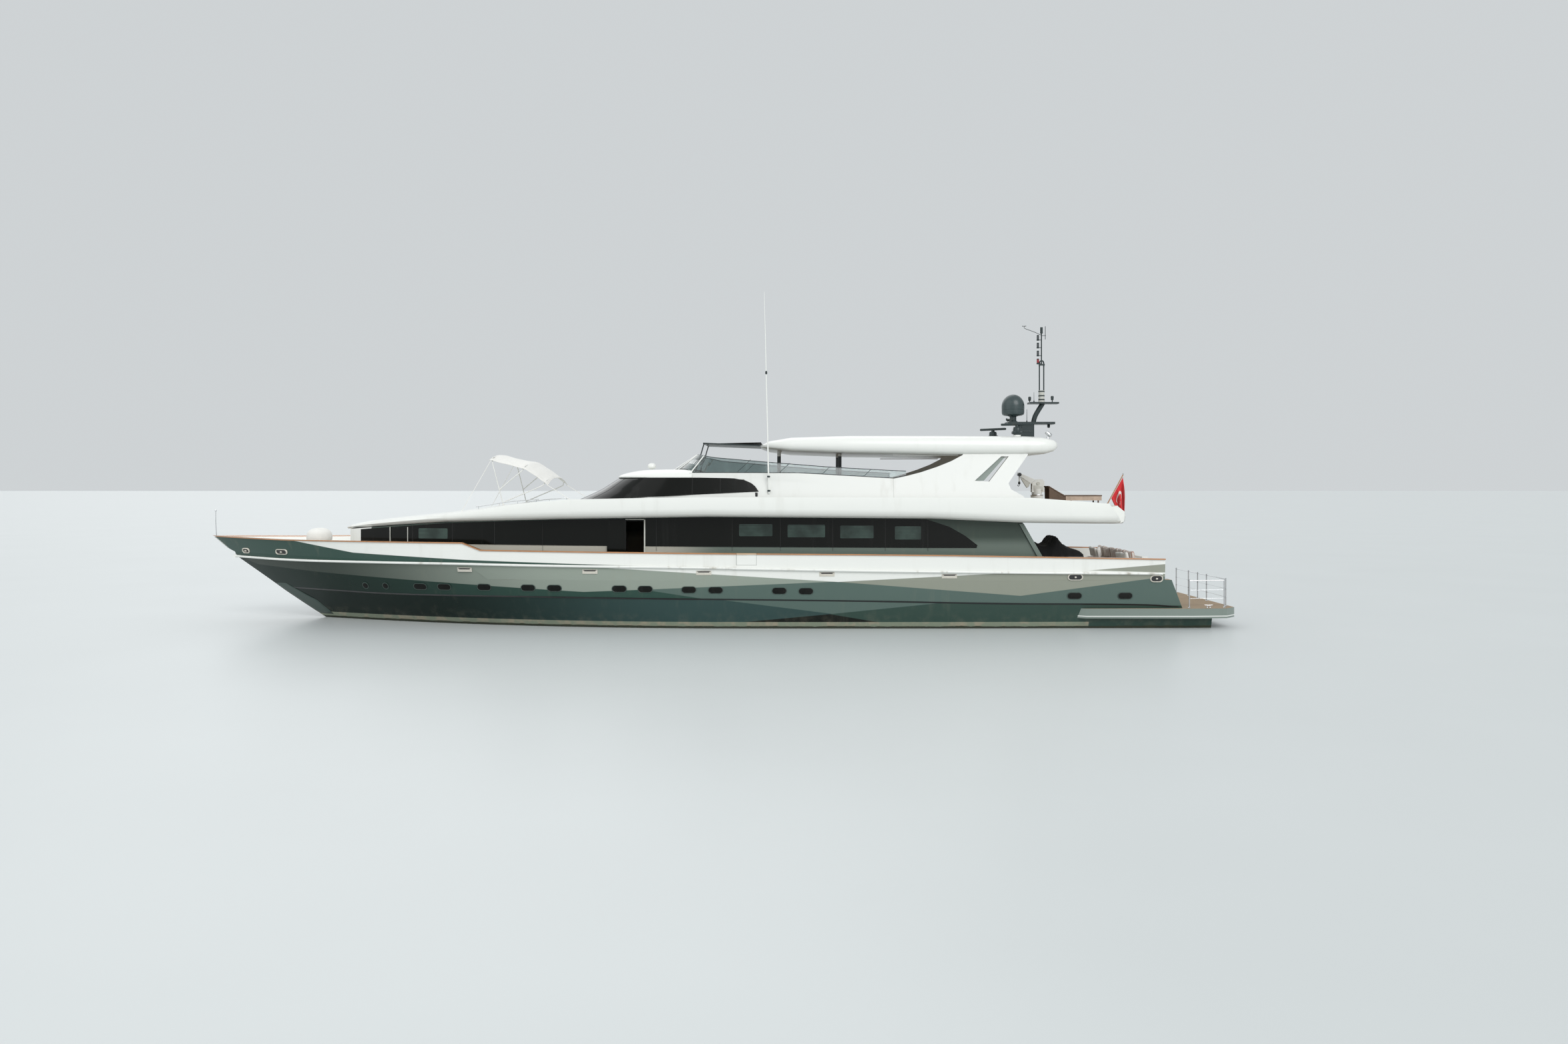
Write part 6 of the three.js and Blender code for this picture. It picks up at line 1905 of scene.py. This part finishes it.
class YACHT_OT_shades(Piece):
    """Bimini over the coachroof with its straps, and the sunshade over the helm."""

    bl_idname = "yacht.shades"
    bl_label = "Bimini and sunshade"

    # The bimini's cloth as (x, height of its edge, height of its middle)
    RIBS = [(7.97, 6.05, 6.27), (7.9, 6.08, 6.305), (7.6, 5.985, 6.235), (7.25, 5.9, 6.165),
            (6.94, 5.815, 6.09), (6.64, 5.74, 6.03), (6.42, 5.6, 5.89), (6.2, 5.46, 5.76),
            (6.02, 5.32, 5.62), (5.84, 5.2, 5.485), (5.785, 5.13, 5.43)]
    BOWS = (7.9, 6.62, 5.82)
    # Where the straps leave the cloth as (x, z), and where they meet the coachroof
    STRAPS = [((7.9, 6.06), 8.95), ((5.82, 5.15), 4.85)]
    SHADE_FORE, SHADE_AFT = 0.03, -2.16

    def bimini(self):
        canopy = Form()
        edges = rounded([(x, edge) for x, edge, _ in self.RIBS], steps=3)
        crowns = rounded([(x, crown) for x, _, crown in self.RIBS], steps=3)
        rings = []
        for (x, edge), (_, crown) in zip(edges, crowns):
            slack = min(1.0, min(abs(x - bow) for bow in self.BOWS) / 0.5)
            rings.append([(x, 1.86 * t * (1 - 0.008 * slack),
                           edge + (crown - edge) * (1 - abs(t) ** 2.4)
                           - 0.022 * slack * (1 - t * t) + 0.004 * math.sin(9 * t + 6 * x))
                          for t in spread(-1.0, 1.0, 41)])
        canopy.skin(rings, closed=False)
        cloth = canopy.done("bimini_cloth", "canvas", sharp=180, sheet=0.003)
        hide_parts("bimini_canopy")
        hem = Form()
        for line in (rings[0], rings[-1], [ring[0] for ring in rings],
                     [ring[-1] for ring in rings]):
            hem.tube(line, 0.009, sides=6)
        edge = hem.done("bimini_hem", "canvas")

    def make(self):
        dress("bright_tube", "bimini_frame", sharp=60)
        self.bimini()
        straps = Form()
        for _, side in SIDES:
            for (x, z), foot in self.STRAPS:
                low = (foot, side * 1.95, coachroof_height(foot, 1.95))
                straps.tube([(x, side * 1.84, z), low], 0.012, sides=6)
                straps.turned([(0.03, 0.0), (0.03, 0.01), (0.012, 0.02), (0.0, 0.03)], low,
                              sides=14)
            for x in (7.44, 7.59):
                straps.turned([(0.04, -0.01), (0.04, 0.01), (0.026, 0.03), (0.0, 0.05)],
                              (x, side * 1.85, coachroof_height(x, 1.85) + 0.01), sides=16)
        straps.done("bimini_straps", "canvas")

        dress("slate", "sunshade", sharp=45)
        shade = Form()
        rings = []
        for x in spread(self.SHADE_FORE, self.SHADE_AFT, 24):
            along = (x - self.SHADE_AFT) / (self.SHADE_FORE - self.SHADE_AFT)
            bar = abs((3 * along) % 1 - 0.5) * 2
            rings.append([(x, 1.46 * t, 6.745 - 0.05 * (x + 2.15) / 2.17
                           + (0.02 - 0.012 * (1 - bar)) * (1 - t * t))
                          for t in spread(-1.0, 1.0, 31)])
        shade.skin(rings, closed=False)
        cloth = shade.done("sunshade_cloth", "dark_cloth", sharp=180, sheet=0.003)


class YACHT_OT_rails(Piece):
    """Handrails on the coachroof."""

    bl_idname = "yacht.rails"
    bl_label = "Coachroof handrails"

    LIFT = 0.1

    def make(self):
        rails = Form()
        for _, side in SIDES:
            def foot(x):
                y = 0.84 * deck_half(x)
                return Vector((x, side * y, coachroof_height(x, y)))

            up = Vector((0.0, 0.0, self.LIFT))
            rails.tube([foot(x) + up for x in spread(8.3, 5.9, 9)], 0.014, sides=8)
            for x in (8.2, 7.4, 6.7, 6.0):
                rails.tube([foot(x) - 0.05 * up, foot(x) + up], 0.011, sides=8)
        rails.done("coachroof_handrails", "steel")


PIECES = [
    YACHT_OT_stage, YACHT_OT_hull, YACHT_OT_hull_fittings, YACHT_OT_house,
    YACHT_OT_upper_works, YACHT_OT_mast, YACHT_OT_crane, YACHT_OT_platform, YACHT_OT_foredeck,
    YACHT_OT_after_deck, YACHT_OT_bridge_seats, YACHT_OT_ensign, YACHT_OT_shades,
    YACHT_OT_rails,
]


class YACHT_PT_panel(bpy.types.Panel):
    """Lists the boat's pieces in the sidebar."""

    bl_label = "Yacht"
    bl_idname = "YACHT_PT_panel"
    bl_space_type = "VIEW_3D"
    bl_region_type = "UI"
    bl_category = "Yacht"

    def draw(self, context):
        column = self.layout.column()
        for piece in PIECES:
            column.operator(piece.bl_idname)
        for group in (context.scene.yacht_paint, context.scene.yacht_stage):
            for key in group.__annotations__:
                self.layout.prop(group, key)


CLASSES = [YachtPaint, YachtStage, *PIECES, YACHT_PT_panel]


def register():
    for each in CLASSES:
        bpy.utils.register_class(each)
    bpy.types.Scene.yacht_paint = bpy.props.PointerProperty(type=YachtPaint)
    bpy.types.Scene.yacht_stage = bpy.props.PointerProperty(type=YachtStage)


def unregister():
    del bpy.types.Scene.yacht_stage
    del bpy.types.Scene.yacht_paint
    for each in reversed(CLASSES):
        bpy.utils.unregister_class(each)


def main():
    register()
    for piece in PIECES:
        name = piece.bl_idname.split(".")[1]
        getattr(bpy.ops.yacht, name)()


if __name__ == "__main__":
    main()
